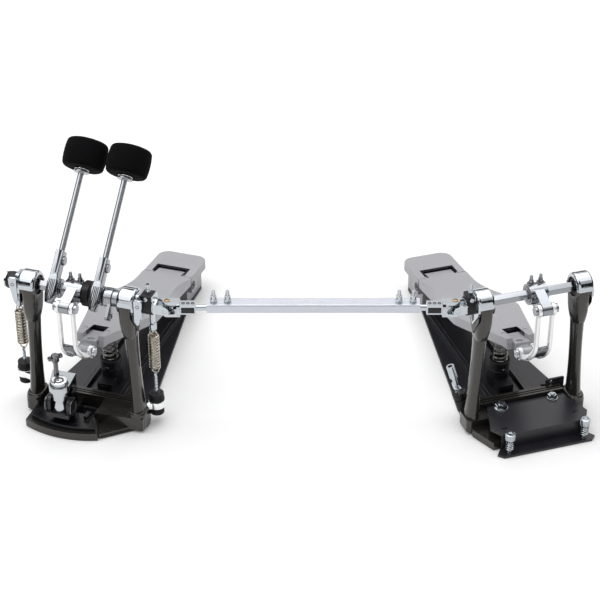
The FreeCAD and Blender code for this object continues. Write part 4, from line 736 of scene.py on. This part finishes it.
def felt_head(side):
    """A felt barrel with soft edges, pressed round its shaft."""
    flat = HEAD_END_RADIUS - HEAD_EDGE
    quarter = [math.pi / 2 * index / 6 for index in range(7)]
    profile = [(0, 10.5)]
    for angle in quarter:
        profile.append((HEAD_EDGE * (1 - math.cos(angle)), flat + HEAD_EDGE * math.sin(angle)))
    for index in range(1, 12):
        share = index / 12
        bulge = 1 - (2 * share - 1) ** 2
        profile.append((HEAD_EDGE + (HEAD_LENGTH - 2 * HEAD_EDGE) * share,
                        HEAD_END_RADIUS + (HEAD_RADIUS - HEAD_END_RADIUS) * bulge))
    for angle in quarter:
        profile.append((HEAD_LENGTH - HEAD_EDGE + HEAD_EDGE * math.sin(angle),
                        flat + HEAD_EDGE * math.cos(angle)))
    steps = [profile[0]]
    for (before, _), (after, radius) in zip(profile, profile[1:]):
        steps.append((after - before, radius))
    steps += [(0, 13), (-0.3, 4.2)]
    piece = turned((BEATER_X[side], BEATER_Y, HEAD_FOOT), Z_AXIS, steps, 64)
    tufts = bpy.data.textures.new("felt_tufts", "CLOUDS")
    tufts.noise_scale = TUFT_SIZE
    rough = piece.modifiers.new("Tufts", "DISPLACE")
    rough.texture = tufts
    rough.strength = TUFT_HEIGHT
    rough.mid_level = TUFT_LEVEL
    apply(piece, rough)
    settle(f"{side}_felt_head", BEATER, f"{side}_beater", "felt", piece,
           replaced=(f"{side}_beater_head",))


def felt_washer(side):
    """The washer under the felt, nearly white in the lit copy of the chrome: painted light."""
    washer = ring((BEATER_X[side], BEATER_Y, HEAD_FOOT - 1.8), Z_AXIS, 9.6, 4.05, 2.0, 0.6)
    settle(f"{side}_ferrule_washer", BEATER, f"{side}_beater", "lit_chrome", washer)


def beater_hub(side):
    """A slim clamp block with a ribbed nose, on an eye round the axle."""
    x, front, body = BEATER_X[side], BEATER_Y - 7.5, HUB_BODY[side]
    spine = soften(slab((x - 5.3, front + 0.4, -12), (x + 5.3, BEATER_Y + 6.4, 45.8)), 0.9, 3)
    outline = [(-4.6, 14), (4.6, 14), (6.4, 4), (6.2, -13), (3.6, -23.6), (-3.6, -23.6), (-6.2, -13),
               (-6.4, 4)]
    nose = plate([(x + shift, z) for shift, z in outline], front, BEATER_Y + 5.4, "y")
    eye = ring((x - 6.6, 0, 0), X_AXIS, 12.8, 7.3, 13.2, 1.0)
    bolt = disc((x, 6, 0), Y_AXIS, 3.4, 16, 0.6, 28)
    washer = disc((x + 5.2, BEATER_Y + 1.5, 34), X_AXIS, 6.2, 2.6, 0.9)
    pieces = [spine, soften(nose, 0.8), eye, bolt, washer]
    if side == "right":
        pieces.append(hub_clevis())
    settle(f"{side}_hub_block", BEATER, body, "ground_steel", *pieces, replaced=(f"{side}_beater_hub",))
    # black strips and a black plate on the nose: painted shade in its grooves and slot
    groove_shades = [slab((x + shift - 0.55, front - 0.2, -20), (x + shift + 0.55, front + 0.6, 7))
            for shift in (-3.3, -1.1, 1.1, 3.3)]
    slot = plate([(x + 0.8, 16), (x + 2.2, 16), (x + 3.4, 45.9), (x - 0.4, 45.9)],
                 front + 0.2, front + 1.0, "y")
    settle(f"{side}_hub_groove_shade", BEATER, body, "pad_rubber", slot, *groove_shades)


def hub_clevis():
    """The clevis beside the second hub, cut from a copy of the CAD solid."""
    copy = NODES["right_beater_hub"].copy()
    copy.data = copy.data.copy()
    copy.parent = None
    copy.modifiers.clear()
    bpy.context.scene.collection.objects.link(copy)
    copy.matrix_world = BEATER.inverted()
    fix(copy)
    outward()
    return carve(copy, slab((0, -60, -80), (BEATER_X["right"] + 9, 60, 80)))


def hub_collar():
    """The fluted black collar between the two hubs."""
    spot = Vector((7.6, 0, AXLE_HEIGHT))
    hole, length = 5.1, 9.8
    steps = [(0, hole)] + rounded_steps(16.8, length, 1.2)
    steps += [(0, 11), (-1.6, 10.4), (0, hole), (1.6 - length, hole)]
    piece = turned(spot, X_AXIS, steps, 64, hollow=True)
    fluted(piece, spot, X_AXIS, 0.7, 1.3, 8.5)
    settle("fluted_hub_collar", PRIMARY, "second_shaft", "black_plastic", piece,
           replaced=("hub_collar",))


def axle_cap():
    """The black cap over the axle's far left end."""
    steps = [(0, 10.6), (0, 11.6), (9, 11.6), (5, 11.0), (2.2, 9.4), (1.0, 7.0), (0.3, 3.5)]
    piece = turned((-85.2, 0, AXLE_HEIGHT), -X_AXIS, steps, 48)
    settle("left_axle_cap", PRIMARY, "primary_axle", "black_plastic", piece)


# Rubber grip under the front casting

GRIP_START, GRIP_END, GRIP_TEETH = Vector((36.0, -41.4, 0)), Vector((78.0, -5.2, 0)), 19


def grip_teeth():
    """A row of rubber teeth along the casting's right front edge."""
    along = (GRIP_END - GRIP_START).normalized()
    out = along.cross(Z_AXIS)
    teeth = []
    for index in range(GRIP_TEETH):
        tooth = slab((-0.8, -1.0, 0.2), (0.8, 1.6, 3.6))
        tooth.matrix_world = Matrix((along, out, Z_AXIS)).transposed().to_4x4()
        tooth.location = GRIP_START.lerp(GRIP_END, index / (GRIP_TEETH - 1))
        fix(tooth)
        teeth.append(soften(tooth, 0.3, 1))
    settle("front_grip_teeth", PRIMARY, "primary_base", "pad_rubber", *teeth)


# Posts

POST_FOOT_Z, POST_TOP_Z = 22, 180


def column(sections, corner=0.34):
    """A rounded square pushed up through sections, each a height, a middle and two widths."""
    z, x, wide, deep = sections[0]
    deselect()
    bpy.ops.mesh.primitive_plane_add(size=1)
    piece = bpy.context.object
    edit_all()
    bpy.ops.mesh.bevel(offset=corner, segments=6, affect="VERTICES")
    select_all()
    bpy.ops.transform.resize(value=(wide, deep, 1), center_override=(0, 0, 0))
    bpy.ops.transform.translate(value=(x, 0, z))
    for section in sections[1:]:
        high, across, width, depth = section
        push((across - x, 0, high - z))
        share = (width / wide, depth / deep, 1)
        bpy.ops.transform.resize(value=share, center_override=(across, 0, high))
        z, x, wide, deep = section
    leave()
    outward()
    return piece


def post_middle(hand, z):
    """Where a post's middle is at a height: it leans in towards its head."""
    share = (z - POST_FOOT_Z) / (POST_TOP_Z - POST_FOOT_Z)
    return hand * (POST_FOOT_X - (POST_FOOT_X - POST_TOP_X) * share)


def post_trim(name, hand):
    """A post's forked head, painted shadow in its V, painted shade in its slot, the boot at its foot
    and the screw in its cap.
    """
    where, body, side = PEDALS[name], f"{name}_base", "left" if hand < 0 else "right"
    top = hand * POST_TOP_X
    sections = [(z, post_middle(hand, z), wide, deep) for z, wide, deep in (
        (143, 15.4, 24.6), (150, 17.6, 28), (157, 19.4, 31.6), (165, 20.4, 34))]
    head = column(sections + [(177, top, 20.8, 35.6), (194.6, top, 20.8, 36.6)])
    bore = disc((top - 20, 0, AXLE_HEIGHT), X_AXIS, 13.2, 40, 0.1, 48)
    settle(f"{name}_{side}_post_head", where, body, "gunmetal", soften(carve(head, bore), 0.6))
    low, high = sorted((top + hand * 10.7, top + hand * 11.6))
    shadow = plate([(-15.5, 190), (15.5, 190), (15.5, 176), (0, 150), (-15.5, 176)], low, high, "x", 2)
    settle(f"{name}_{side}_fork_shadow", where, body, "pad_rubber", shadow)
    # a thin black plate in the head's slot: painted shade
    low, high = sorted((top + hand * 13.0, top + hand * 13.35))
    slot = plate([(-3.4, 181), (3.4, 181), (3.4, 174), (0, 169), (-3.4, 174)], low, high, "x", 1)
    settle(f"{name}_{side}_plate_slot", where, body, "pad_rubber", slot)
    if (name, hand) != ("slave", -1):
        boot = column([(21.6, hand * POST_FOOT_X, 24.5, 34), (26.5, post_middle(hand, 26), 23.5, 33),
                       (29, post_middle(hand, 29), 21, 30.6)])
        settle(f"{name}_{side}_post_boot", where, body, "gunmetal", soften(boot, 0.6))
    steps = [(0, 2.0), (0.5, 2.0), (0, 1.1), (-0.6, 1.0)]
    dot = turned((top - hand * 10.05, -9, 207), (-hand, 0, 0.6), steps, 20)
    settle(f"{name}_{side}_cap_set_screw", where, body, "dark_chrome", dot)


# Links

CAM_BOLT_Y, CAM_BOLT_Z = -31.5, 189
TOE_BOLT_Y, TOE_BOLT_Z, TOE_BOLT_HALF = -0.17, 104.8, 12.85
STRAP_OUT, STRAP_RADIUS, STRAP_FLAT_SHARE, EYE_WIDTH = 9.6, 4.3, 0.66, 5.4
STRAP_BEND, STRAP_TURN = 31.7, math.radians(75)
STRAP_BEND_Y = STRAP_BEND + CAM_BOLT_Y
STRAP_BEND_Z = TOE_BOLT_Z + STRAP_BEND * math.sin(STRAP_TURN)


def bend_point(reach, turn):
    """A point of the bend in the pedal's side view, at a turn from its upright end."""
    return STRAP_BEND_Y - reach * math.cos(turn), STRAP_BEND_Z - reach * math.sin(turn)


def strap_path(side_step):
    """Points of a J: down from the cam bolt, then round a bend and sideways to the toe bolt."""
    spots = [(0, CAM_BOLT_Y, CAM_BOLT_Z - 6.4)]
    for index in range(16):
        share = index / 15
        ease = share * share * (3 - 2 * share)
        spots.append((side_step * ease, *bend_point(STRAP_BEND, STRAP_TURN * share)))
    return spots + [(side_step, TOE_BOLT_Y - 6.6, TOE_BOLT_Z - 0.3)]


def link(name, hand):
    """Two bright J straps, the web in their bend, dark with painted shade, and the heads of the toe
    bolt.
    """
    where, body = PEDALS[name], f"{name}_link"
    top, straps = hand * CAM_SIDE, []
    for way in HANDS:
        strap = wire(strap_path(-top / STRAP_FLAT_SHARE), STRAP_RADIUS, 4)
        edit_all()
        bpy.ops.transform.resize(value=(STRAP_FLAT_SHARE, 1, 1), center_override=(0, 0, 0))
        bpy.ops.transform.translate(value=(top + way * STRAP_OUT, 0, 0))
        leave()
        start = way * STRAP_OUT - EYE_WIDTH / 2
        eye = ring((top + start, CAM_BOLT_Y, CAM_BOLT_Z), X_AXIS, 8.2, 4.2, EYE_WIDTH, 1.2)
        foot = ring((start, TOE_BOLT_Y, TOE_BOLT_Z), X_AXIS, 8.8, 5.85, EYE_WIDTH, 1.0)
        straps += [strap, eye, foot]
    settle(f"{name}_link_straps", where, body, "polished_alloy", *straps, replaced=(f"{name}_link",))
    # a web joins the straps in their bend; its dark finish is painted shade of the bend
    turns = [math.radians(angle) for angle in range(8, 39, 5)]
    outline = [bend_point(STRAP_BEND + 3.2, turn) for turn in turns]
    outline += [bend_point(STRAP_BEND - 2.2, turn) for turn in reversed(turns)]
    shaded_web = plate(outline, top - STRAP_OUT + 1.5, top + STRAP_OUT - 1.5, "x")
    settle(f"{name}_link_web", where, body, "dark_chrome", soften(shaded_web, 0.6))
    heads = [bolt_head((way * TOE_BOLT_HALF, TOE_BOLT_Y, TOE_BOLT_Z), (way, 0, 0), 6.15, 3.0,
                       (0.5, 5.5), (2.8, 0.8, 2.5), 36) for way in HANDS]
    settle(f"{name}_toe_bolt_heads", where, f"{name}_footboard", "chrome", *heads)


def cam_trim(name, hand):
    """Painted shade in the split of the cam's clamp, the washers under its bolts and the rings on its
    sides.
    """
    x = hand * CAM_SIDE
    # the black slab across the clamp stands for its split: painted shade
    pieces = [slab((x - 12.2, -0.8, AXLE_HEIGHT + 7.5), (x + 12.2, 0.8, AXLE_HEIGHT + 14.1))]
    for way in HANDS:
        pieces.append(ring((x + way * 6.5, 3, AXLE_HEIGHT + 12.6), Z_AXIS, 5.2, 3.0, 2.2, 0.5))
    for way in HANDS:
        pieces.append(ring((x + way * 12.05, 0, AXLE_HEIGHT), (way, 0, 0), 11.4, 7.6, 0.4, 0.15))
    settle(f"{name}_cam_washers_and_split_shade", PEDALS[name], f"{name}_axle", "dark_chrome", *pieces)


# Hoop clamp

CLAMP_X, CLAMP_Y, CHEEK_X = -22, -36, 15.9
KEY_X, KEY_Y, KEY_FOOT, KEY_CROSS_Z = -34, -18, 63, 98.6


def cheek_outline(inset):
    """The outline of a clamp cheek, drawn in by an inset."""
    front, back, foot, top = CLAMP_Y - 11 + inset, CLAMP_Y + 9 - inset, 27 + inset, 50 - inset
    return [(front, foot), (back, foot), (back, top), (front, top)]


def hoop_clamp():
    """The clamp's bell, its two rimmed cheeks, and the flange and ring on its body."""
    bell = turned((CLAMP_X, CLAMP_Y, 31.2), Z_AXIS, [
        (0, 9.6), (1.2, 10.3), (5, 10.0), (6, 8.6), (4, 8.2), (2.5, 9.4), (1.5, 9.4), (0.6, 8.8)])
    settle("hoop_clamp_bell", PRIMARY, "hoop_clamp_jaw", "chrome", bell)
    cheeks, rims = [], []
    for hand in HANDS:
        face = CLAMP_X + hand * CHEEK_X
        low, high = sorted((face, face + hand * 2.2))
        cheeks.append(soften(plate(cheek_outline(0), low, high, "x", 8), 0.5))
        low, high = sorted((face + hand * 1.8, face + hand * 2.9))
        rim = plate(cheek_outline(0), low, high, "x", 8)
        inner = plate(cheek_outline(2.4), low - 1, high + 1, "x", 6)
        rims.append(soften(carve(rim, inner), 0.3))
    settle("hoop_clamp_cheeks", PRIMARY, "hoop_clamp_jaw", "black_steel", *cheeks)
    settle("hoop_clamp_cheek_rims", PRIMARY, "hoop_clamp_jaw", "dark_chrome", *rims)
    flange = ring((CLAMP_X, CLAMP_Y, 69.6), Z_AXIS, 12.4, 8, 2.0, 0.6)
    well = disc((CLAMP_X, CLAMP_Y, 75.8), Z_AXIS, 6.4, 0.5, 0.1)
    settle("hoop_clamp_flange", PRIMARY, "primary_base", "dark_chrome", flange, well)
    rim = ring((CLAMP_X, CLAMP_Y, 75.6), Z_AXIS, 10.8, 6.2, 1.6, 0.6)
    button = bolt_head((CLAMP_X, CLAMP_Y, 76), Z_AXIS, 4.4, 1.0, (0.4, 3.8), (2.0, 0.9, 1.8), 32)
    # the top ring is in the lit copy of the chrome: painted light
    settle("hoop_clamp_top_ring", PRIMARY, "primary_base", "lit_chrome", rim, button)


def clamp_key():
    """The T key that tightens the hoop clamp."""
    shaft = turned((KEY_X, KEY_Y, KEY_FOOT), Z_AXIS, [
        (0, 4.6), (4, 4.6), (0.8, 3.6), (8, 3.6), (1, 3.0), (14, 3.0), (1.5, 4.8), (1, 5.2),
        (8.5, 5.2), (0.9, 4.2)])
    line = Vector((math.cos(math.radians(50)), math.sin(math.radians(50)), 0))
    cross = turned(Vector((KEY_X, KEY_Y, KEY_CROSS_Z)) - 10 * line, line, [
        (0, 2.4), (0.8, 3.4), (3.2, 3.4), (0.8, 2.5), (10.4, 2.5), (0.8, 3.4), (3.2, 3.4),
        (0.8, 2.4)], 28)
    settle("hoop_clamp_t_key", PRIMARY, "hoop_clamp_key", "dark_chrome", shaft, cross,
           replaced=("hoop_clamp_key",))


# Joints and drive bar

def joint_clamp(name, start, end, body):
    """The black clamp that holds a joint's yoke on its shaft, and its screw."""
    sleeve = ring((start, 0, AXLE_HEIGHT), X_AXIS, 12.7, 11.65, end - start, 1.2)
    block = slab((start + 0.6, -8.8, AXLE_HEIGHT + 9), (end - 0.6, 8.8, AXLE_HEIGHT + 16.8))
    settle(f"{name}_joint_clamp", PEDALS[name], body, "black_plastic", sleeve, soften(block, 1.6, 3))
    middle = ((start + end) / 2, -8.7, AXLE_HEIGHT + 12.5)
    bolt = bolt_head(middle, -Y_AXIS, 3.0, 1.6, (0.4, 2.5), (1.5, 1.0, 1.3))
    settle(f"{name}_clamp_screw", PEDALS[name], body, "chrome", bolt)


def socket_trim(name, low, high, body):
    """The black panel on the front of a bar socket, and dark rings on its top: painted shade in its
    three holes.
    """
    panel = soften(slab((low + 1.6, -7.0, -4.4), (high - 1.6, -6.2, 3.8)), 0.4)
    settle(f"{name}_socket_panel", BAR, body, "pad_rubber", panel)
    # black rings on the socket's top: painted shade in its holes
    holes = [ring((low + (high - low) * share, 0, 6.2), Z_AXIS, 2.3, 1.2, 0.6, 0.2, 24)
             for share in (0.2, 0.5, 0.8)]
    settle(f"{name}_socket_holes", BAR, body, "pad_rubber", *holes)


def tube_seam():
    """The dark line along the tube's front edge."""
    seam = slab((50.2, -6.2, 6.0), (317.4, -5.7, 6.7))
    settle("drive_tube_seam", BAR, "drive_tube", "dark_chrome", seam)


def cross_inserts(name, x, body):
    """Brass bearing faces on a joint's cross."""
    steps = [(0, 3.6), (1.0, 3.6), (0.5, 2.8)]
    caps = [turned((x, 0, hand * 10.2), hand * Z_AXIS, steps, 24) for hand in HANDS]
    settle(f"{name}_cross_inserts", BAR, body, "brass", *caps)


# Slave front plate and its bolts

PLATE_X, PLATE_TOP, NUT_APART = 5, 25.0, 37
SPUR_APART, SPUR_Y, SPUR_HEAD_Z = 53, -69, 24


def plate_nuts():
    """The two nuts that hold the front plate, each on a washer."""
    for hand, side, size in ((-1, "left", 8.2), (1, "right", 6.4)):
        x = PLATE_X + hand * NUT_APART
        washer = ring((x, -2, PLATE_TOP), Z_AXIS, size + 1.2, 5.4, 1.0, 0.3)
        steps = [(0, size), (3.6, size), (0.8, size - 0.9), (0, 3.4), (1.6, 3.0)]
        nut = turned((x, -2, PLATE_TOP + 1), Z_AXIS, steps, 6)
        settle(f"{side}_plate_nut", SLAVE, "slave_base", "chrome", washer, nut)


def plate_slots():
    """Dark plates in the adjusting slots beside the spurs: painted shade in the slots."""
    slots = []
    # thin black plates on the deck: painted shade in the slots
    for x, y in ((-46, -46), (58, -40)):
        spots = [(x - 4, y - 2.2), (x + 4, y - 2.2), (x + 4, y + 2.2), (x - 4, y + 2.2)]
        slots.append(plate(spots, PLATE_TOP - 0.1, PLATE_TOP + 0.15, "z", 2.1))
    settle("front_plate_slots", SLAVE, "slave_base", "pad_rubber", *slots)


def plate_tab():
    """The upstanding tab behind the plate, with a hole."""
    spots = [(36, 10), (69, 10), (69, 38), (46, 38), (43, 36), (43, 32), (36, 32)]
    tab = plate(spots, 20.6, 23.4, "y", 1.4)
    hole = disc((50, 15, 33.5), Y_AXIS, 2.2, 14, 0.1, 24)
    settle("front_plate_tab", SLAVE, "slave_base", "black_steel", soften(carve(tab, hole), 0.5))


def spur_bolt(side):
    """A floor spur: a fluted head on a screw with a coil spring round it."""
    x, y = PLATE_X + (-SPUR_APART if side == "left" else SPUR_APART), SPUR_Y
    spot = (x, y, SPUR_HEAD_Z)
    head = turned(spot, Z_AXIS, rounded_steps(6.6, 9, 0.9) + [(0, 4.0), (-1.4, 3.4)], 48)
    fluted(head, spot, Z_AXIS, 0.45, 1.0, 8.0)
    screw = threaded(x, y, 3, 24.4, 3.0, 1.5)
    tip = turned((x, y, 3.4), -Z_AXIS, [(0, 2.7), (1.0, 2.2), (1.4, 0.4)], 20)
    spring = wire(helix((x, y), 4.7, 8, 23, 4.5, 18), 0.7)
    settle(f"{side}_floor_spur", SLAVE, f"{side}_spur_bolt", "chrome", head, screw, tip, spring,
           replaced=(f"{side}_spur_bolt",))


def key_holder():
    """The black sleeve of the drum key's holder."""
    sleeve = ring((0, 0, 10), Z_AXIS, 9.3, 8.0, 18, 0.8)
    rim = ring((0, 0, 29.4), Z_AXIS, 9.6, 5.2, 9.2, 1.0)
    settle("drum_key_sleeve", KEY_HOLDER, "slave_base", "black_plastic", sleeve, rim)


# Footboards and heels

HINGE_Y, HINGE_Z, HEEL_HALF = 295.95, 36.03, 36.5
TOE_SLOT_HALF, TOE_SLOT_END, SLOT_FLOOR, SLOT_MOUTH = 10.5, 36, -12.6, -0.4
RIDGE_SIDES, RIDGE_START, RIDGE_END = (-31.4, -25.8, 24.6, 30.2), 32, 268


def heel_trim(name):
    """Painted shade in the U-shaped recess round the board's tongue, painted shade in the recesses
    round the hinge bolts, and the hinge bolts on the heel's sides.
    """
    where, body = PEDALS[name], f"{name}_base"
    # a thin black U round the tongue: painted shade in the recess
    recess_shade = plate([(-25.5, 3), (-22.6, 3), (-22.6, 21.4), (22.6, 21.4), (22.6, 3), (25.5, 3),
                 (25.5, 25.4), (-25.5, 25.4)], -4, 0.2)
    settle(f"{name}_tongue_lip", HEEL[name], body, "pad_rubber", soften(recess_shade, 0.1, 1))
    bolts, bolt_recess_shades = [], []
    for hand in HANDS:
        spot = (hand * HEEL_HALF, HINGE_Y, HINGE_Z)
        # black rings round the hinge bolts: painted shade in their recesses
        bolt_recess_shades.append(ring(spot, (hand, 0, 0), 6.6, 4.1, 0.5, 0.15, 32))
        bolts.append(bolt_head((hand * (HEEL_HALF - 1.9), HINGE_Y, HINGE_Z), (hand, 0, 0), 3.8, 1.2,
                               (0.5, 3.2), (1.9, 1.0, 1.7)))
    settle(f"{name}_hinge_recesses", where, body, "pad_rubber", *bolt_recess_shades)
    settle(f"{name}_hinge_bolts", where, body, "dark_chrome", *bolts)


def board_trim(name):
    """Crescents beside the toe slot, painted shade on the slot's walls and the bolt in the slide
    adjuster.
    """
    where, body = BOARD[name], f"{name}_footboard"
    arcs = []
    for x in (-15.5, 15.5):
        turns = [math.radians(angle) for angle in range(20, 161, 10)]
        spots = [(x + 3.4 * math.cos(turn), 19 + 3.4 * math.sin(turn), 0.0) for turn in turns]
        arcs.append(wire(spots, 0.32))
    settle(f"{name}_toe_crescents", where, body, "pad_rubber", *arcs)
    # thin black plates on the toe slot's back and side walls: painted shade in the recess
    wall_shade = [slab((-10.9, TOE_SLOT_END - 0.5, SLOT_FLOOR), (10.9, TOE_SLOT_END + 0.1, SLOT_MOUTH))]
    for low in (-TOE_SLOT_HALF - 0.6, TOE_SLOT_HALF):
        wall_shade.append(slab((low, 12, SLOT_FLOOR), (low + 0.6, TOE_SLOT_END, SLOT_MOUTH)))
    settle(f"{name}_toe_slot_lining", where, body, "pad_rubber", *wall_shade)
    bolt = bolt_head((0, 2, -11), Z_AXIS, 5.6, 2.6, (0.6, 4.9), (3.0, 1.8, 2.8), 32)
    # the adjuster bolt is in the lit copy of the chrome: painted light
    settle(f"{name}_adjuster_bolt", where, body, "lit_chrome", bolt)


def base_ridge_highlights(name):
    """Painted highlights along the edges of the two ridges of a base plate."""
    # strips of the lighter gunmetal on the ridge edges: painted highlights
    highlight_strips = [soften(slab((x, RIDGE_START, 9.6), (x + 1.2, RIDGE_END, 10.25)), 0.2, 1)
              for x in RIDGE_SIDES]
    settle(f"{name}_ridge_highlights", PEDALS[name], f"{name}_base", "gunmetal", *highlight_strips)


for one_side in ("left", "right"):
    for build in (return_spring, tensioner, swivel, felt_head, felt_washer, beater_hub, spur_bolt):
        build(one_side)
hub_collar()
axle_cap()
grip_teeth()
for pedal_name in PEDALS:
    for build in (board_coil, coil_fittings, heel_trim, board_trim, base_ridge_highlights):
        build(pedal_name)
    for post_hand in HANDS:
        post_trim(pedal_name, post_hand)
for pedal_name, cam_hand in (("primary", -1), ("slave", 1)):
    link(pedal_name, cam_hand)
    cam_trim(pedal_name, cam_hand)
rocker_lever("left", hand=-1, front=-16.4)
rocker_lever("right", hand=1, front=-17.4)
hoop_clamp()
clamp_key()
joint_clamp("primary", 86, 103, "second_shaft")
joint_clamp("slave", -92, -81, "slave_axle")
socket_trim("left", 16, 36, "drive_tube")
socket_trim("right", BAR_LENGTH - 36, BAR_LENGTH - 16, "slave_rod")
tube_seam()
cross_inserts("left", 0, "primary_joint_cross")
cross_inserts("right", BAR_LENGTH, "slave_joint_cross")
plate_nuts()
plate_slots()
plate_tab()
key_holder()


# Stage, light and camera, in metres

STAGE_MIDDLE = Vector((0, 0, 0.1))
FLOOR_Z, FLOOR_SIZE = -0.0005, 30
FLOOR_SHADE, FLOOR_WHITE = (0.4, 0.4, 0.4), (0.97, 0.97, 0.97)
GLOW_START, GLOW_END, GLOW_NEAR, GLOW_FAR = 1.2, 4.5, 0.07, 0.8
WORLD_LIGHT, WORLD_WHITE = 0.3, 1.0


def make_stage():
    """A white floor that keeps the shadow and glows a little more with distance."""
    deselect()
    bpy.ops.mesh.primitive_plane_add(size=FLOOR_SIZE, location=(0, 0, FLOOR_Z))
    floor = bpy.context.object
    floor.name = "floor"
    finish = Finish("floor_white", Roughness=0.9, Specular_IOR_Level=0.1, Emission_Strength=1.0)
    seen = finish.seen()
    finish.colour(seen, FLOOR_SHADE, FLOOR_WHITE)
    spot = finish.node("ShaderNodeTexCoord", output="Object")
    far = finish.node("ShaderNodeVectorMath", {"operation": "LENGTH"}, {0: spot}, output="Value")
    glow = finish.ramp(far, GLOW_START, GLOW_END, GLOW_NEAR, GLOW_FAR)
    finish.set("Emission Color", finish.tint(seen * glow, (0, 0, 0), (1, 1, 1)))
    floor.data.materials.append(finish.material)


def make_world():
    """A white background that lights the pedals only softly."""
    world = bpy.data.worlds.new("studio")
    bpy.context.scene.world = world
    world.use_nodes = True
    nodes = Nodes(world.node_tree)
    back = world.node_tree.nodes["Background"]
    back.inputs["Color"].default_value = (1, 1, 1, 1)
    nodes.feed(back.inputs["Strength"], nodes.ramp(nodes.seen(), 0, 1, WORLD_LIGHT, WORLD_WHITE))


def facing(spot, target):
    return (Vector(target) - Vector(spot)).to_track_quat("-Z", "Y").to_euler()


def soft_box(name, spot, target, size, power):
    """A large square lamp aimed at a point."""
    lamp = bpy.data.lights.new(name, "AREA")
    lamp.shape = "SQUARE"
    lamp.size = size
    lamp.energy = power
    holder = bpy.data.objects.new(name, lamp)
    holder.location = spot
    holder.rotation_euler = facing(spot, target)
    bpy.context.scene.collection.objects.link(holder)


def flag(name, spot, width, height, shade):
    """A dark card out of view, which metal reflects between the lamps."""
    deselect()
    bpy.ops.mesh.primitive_plane_add(size=1, location=spot)
    card = bpy.context.object
    card.name = name
    card.scale = (width, height, 1)
    card.rotation_euler = facing(spot, STAGE_MIDDLE)
    finish = Finish(name, Base_Color=(shade, shade, shade, 1), Roughness=1.0, Specular_IOR_Level=0.0)
    card.data.materials.append(finish.material)
    card.visible_camera = False
    card.visible_diffuse = False
    card.visible_shadow = False


LENS_PIXELS, FRAME_PIXELS, SENSOR = 1782.86, 600, 36
CAMERA_SPOT = Vector((-2.65, -2050.9, 1409.12)) * MM
CAMERA_PITCH = math.radians(32.52)


def make_camera():
    """The camera, where the photograph was taken from."""
    lens = bpy.data.cameras.new("photo_camera")
    lens.sensor_width = SENSOR
    lens.lens = SENSOR * LENS_PIXELS / FRAME_PIXELS
    holder = bpy.data.objects.new("photo_camera", lens)
    holder.location = CAMERA_SPOT
    holder.rotation_euler = (math.pi / 2 - CAMERA_PITCH, 0, 0)
    bpy.context.scene.collection.objects.link(holder)
    bpy.context.scene.camera = holder


make_stage()
make_world()
soft_box("key_light", (-1.7, -0.6, 2.6), STAGE_MIDDLE, size=3.2, power=54)
soft_box("fill_light", (2.0, -0.4, 2.2), STAGE_MIDDLE, size=2.6, power=14)
soft_box("top_light", (0, 0.9, 2.8), (0, 0, 0), size=3.0, power=46)
flag("front_flag", (0, -2.4, 3.2), width=7, height=2.2, shade=0.03)
flag("back_flag", (0, 3.2, 1.0), width=8, height=1.1, shade=0.12)
flag("left_flag", (-2.6, -0.4, 0.9), width=4, height=1.8, shade=0.03)
flag("right_flag", (2.6, -0.4, 0.9), width=4, height=1.8, shade=0.03)
make_camera()
bpy.context.scene.view_settings.view_transform = "Standard"
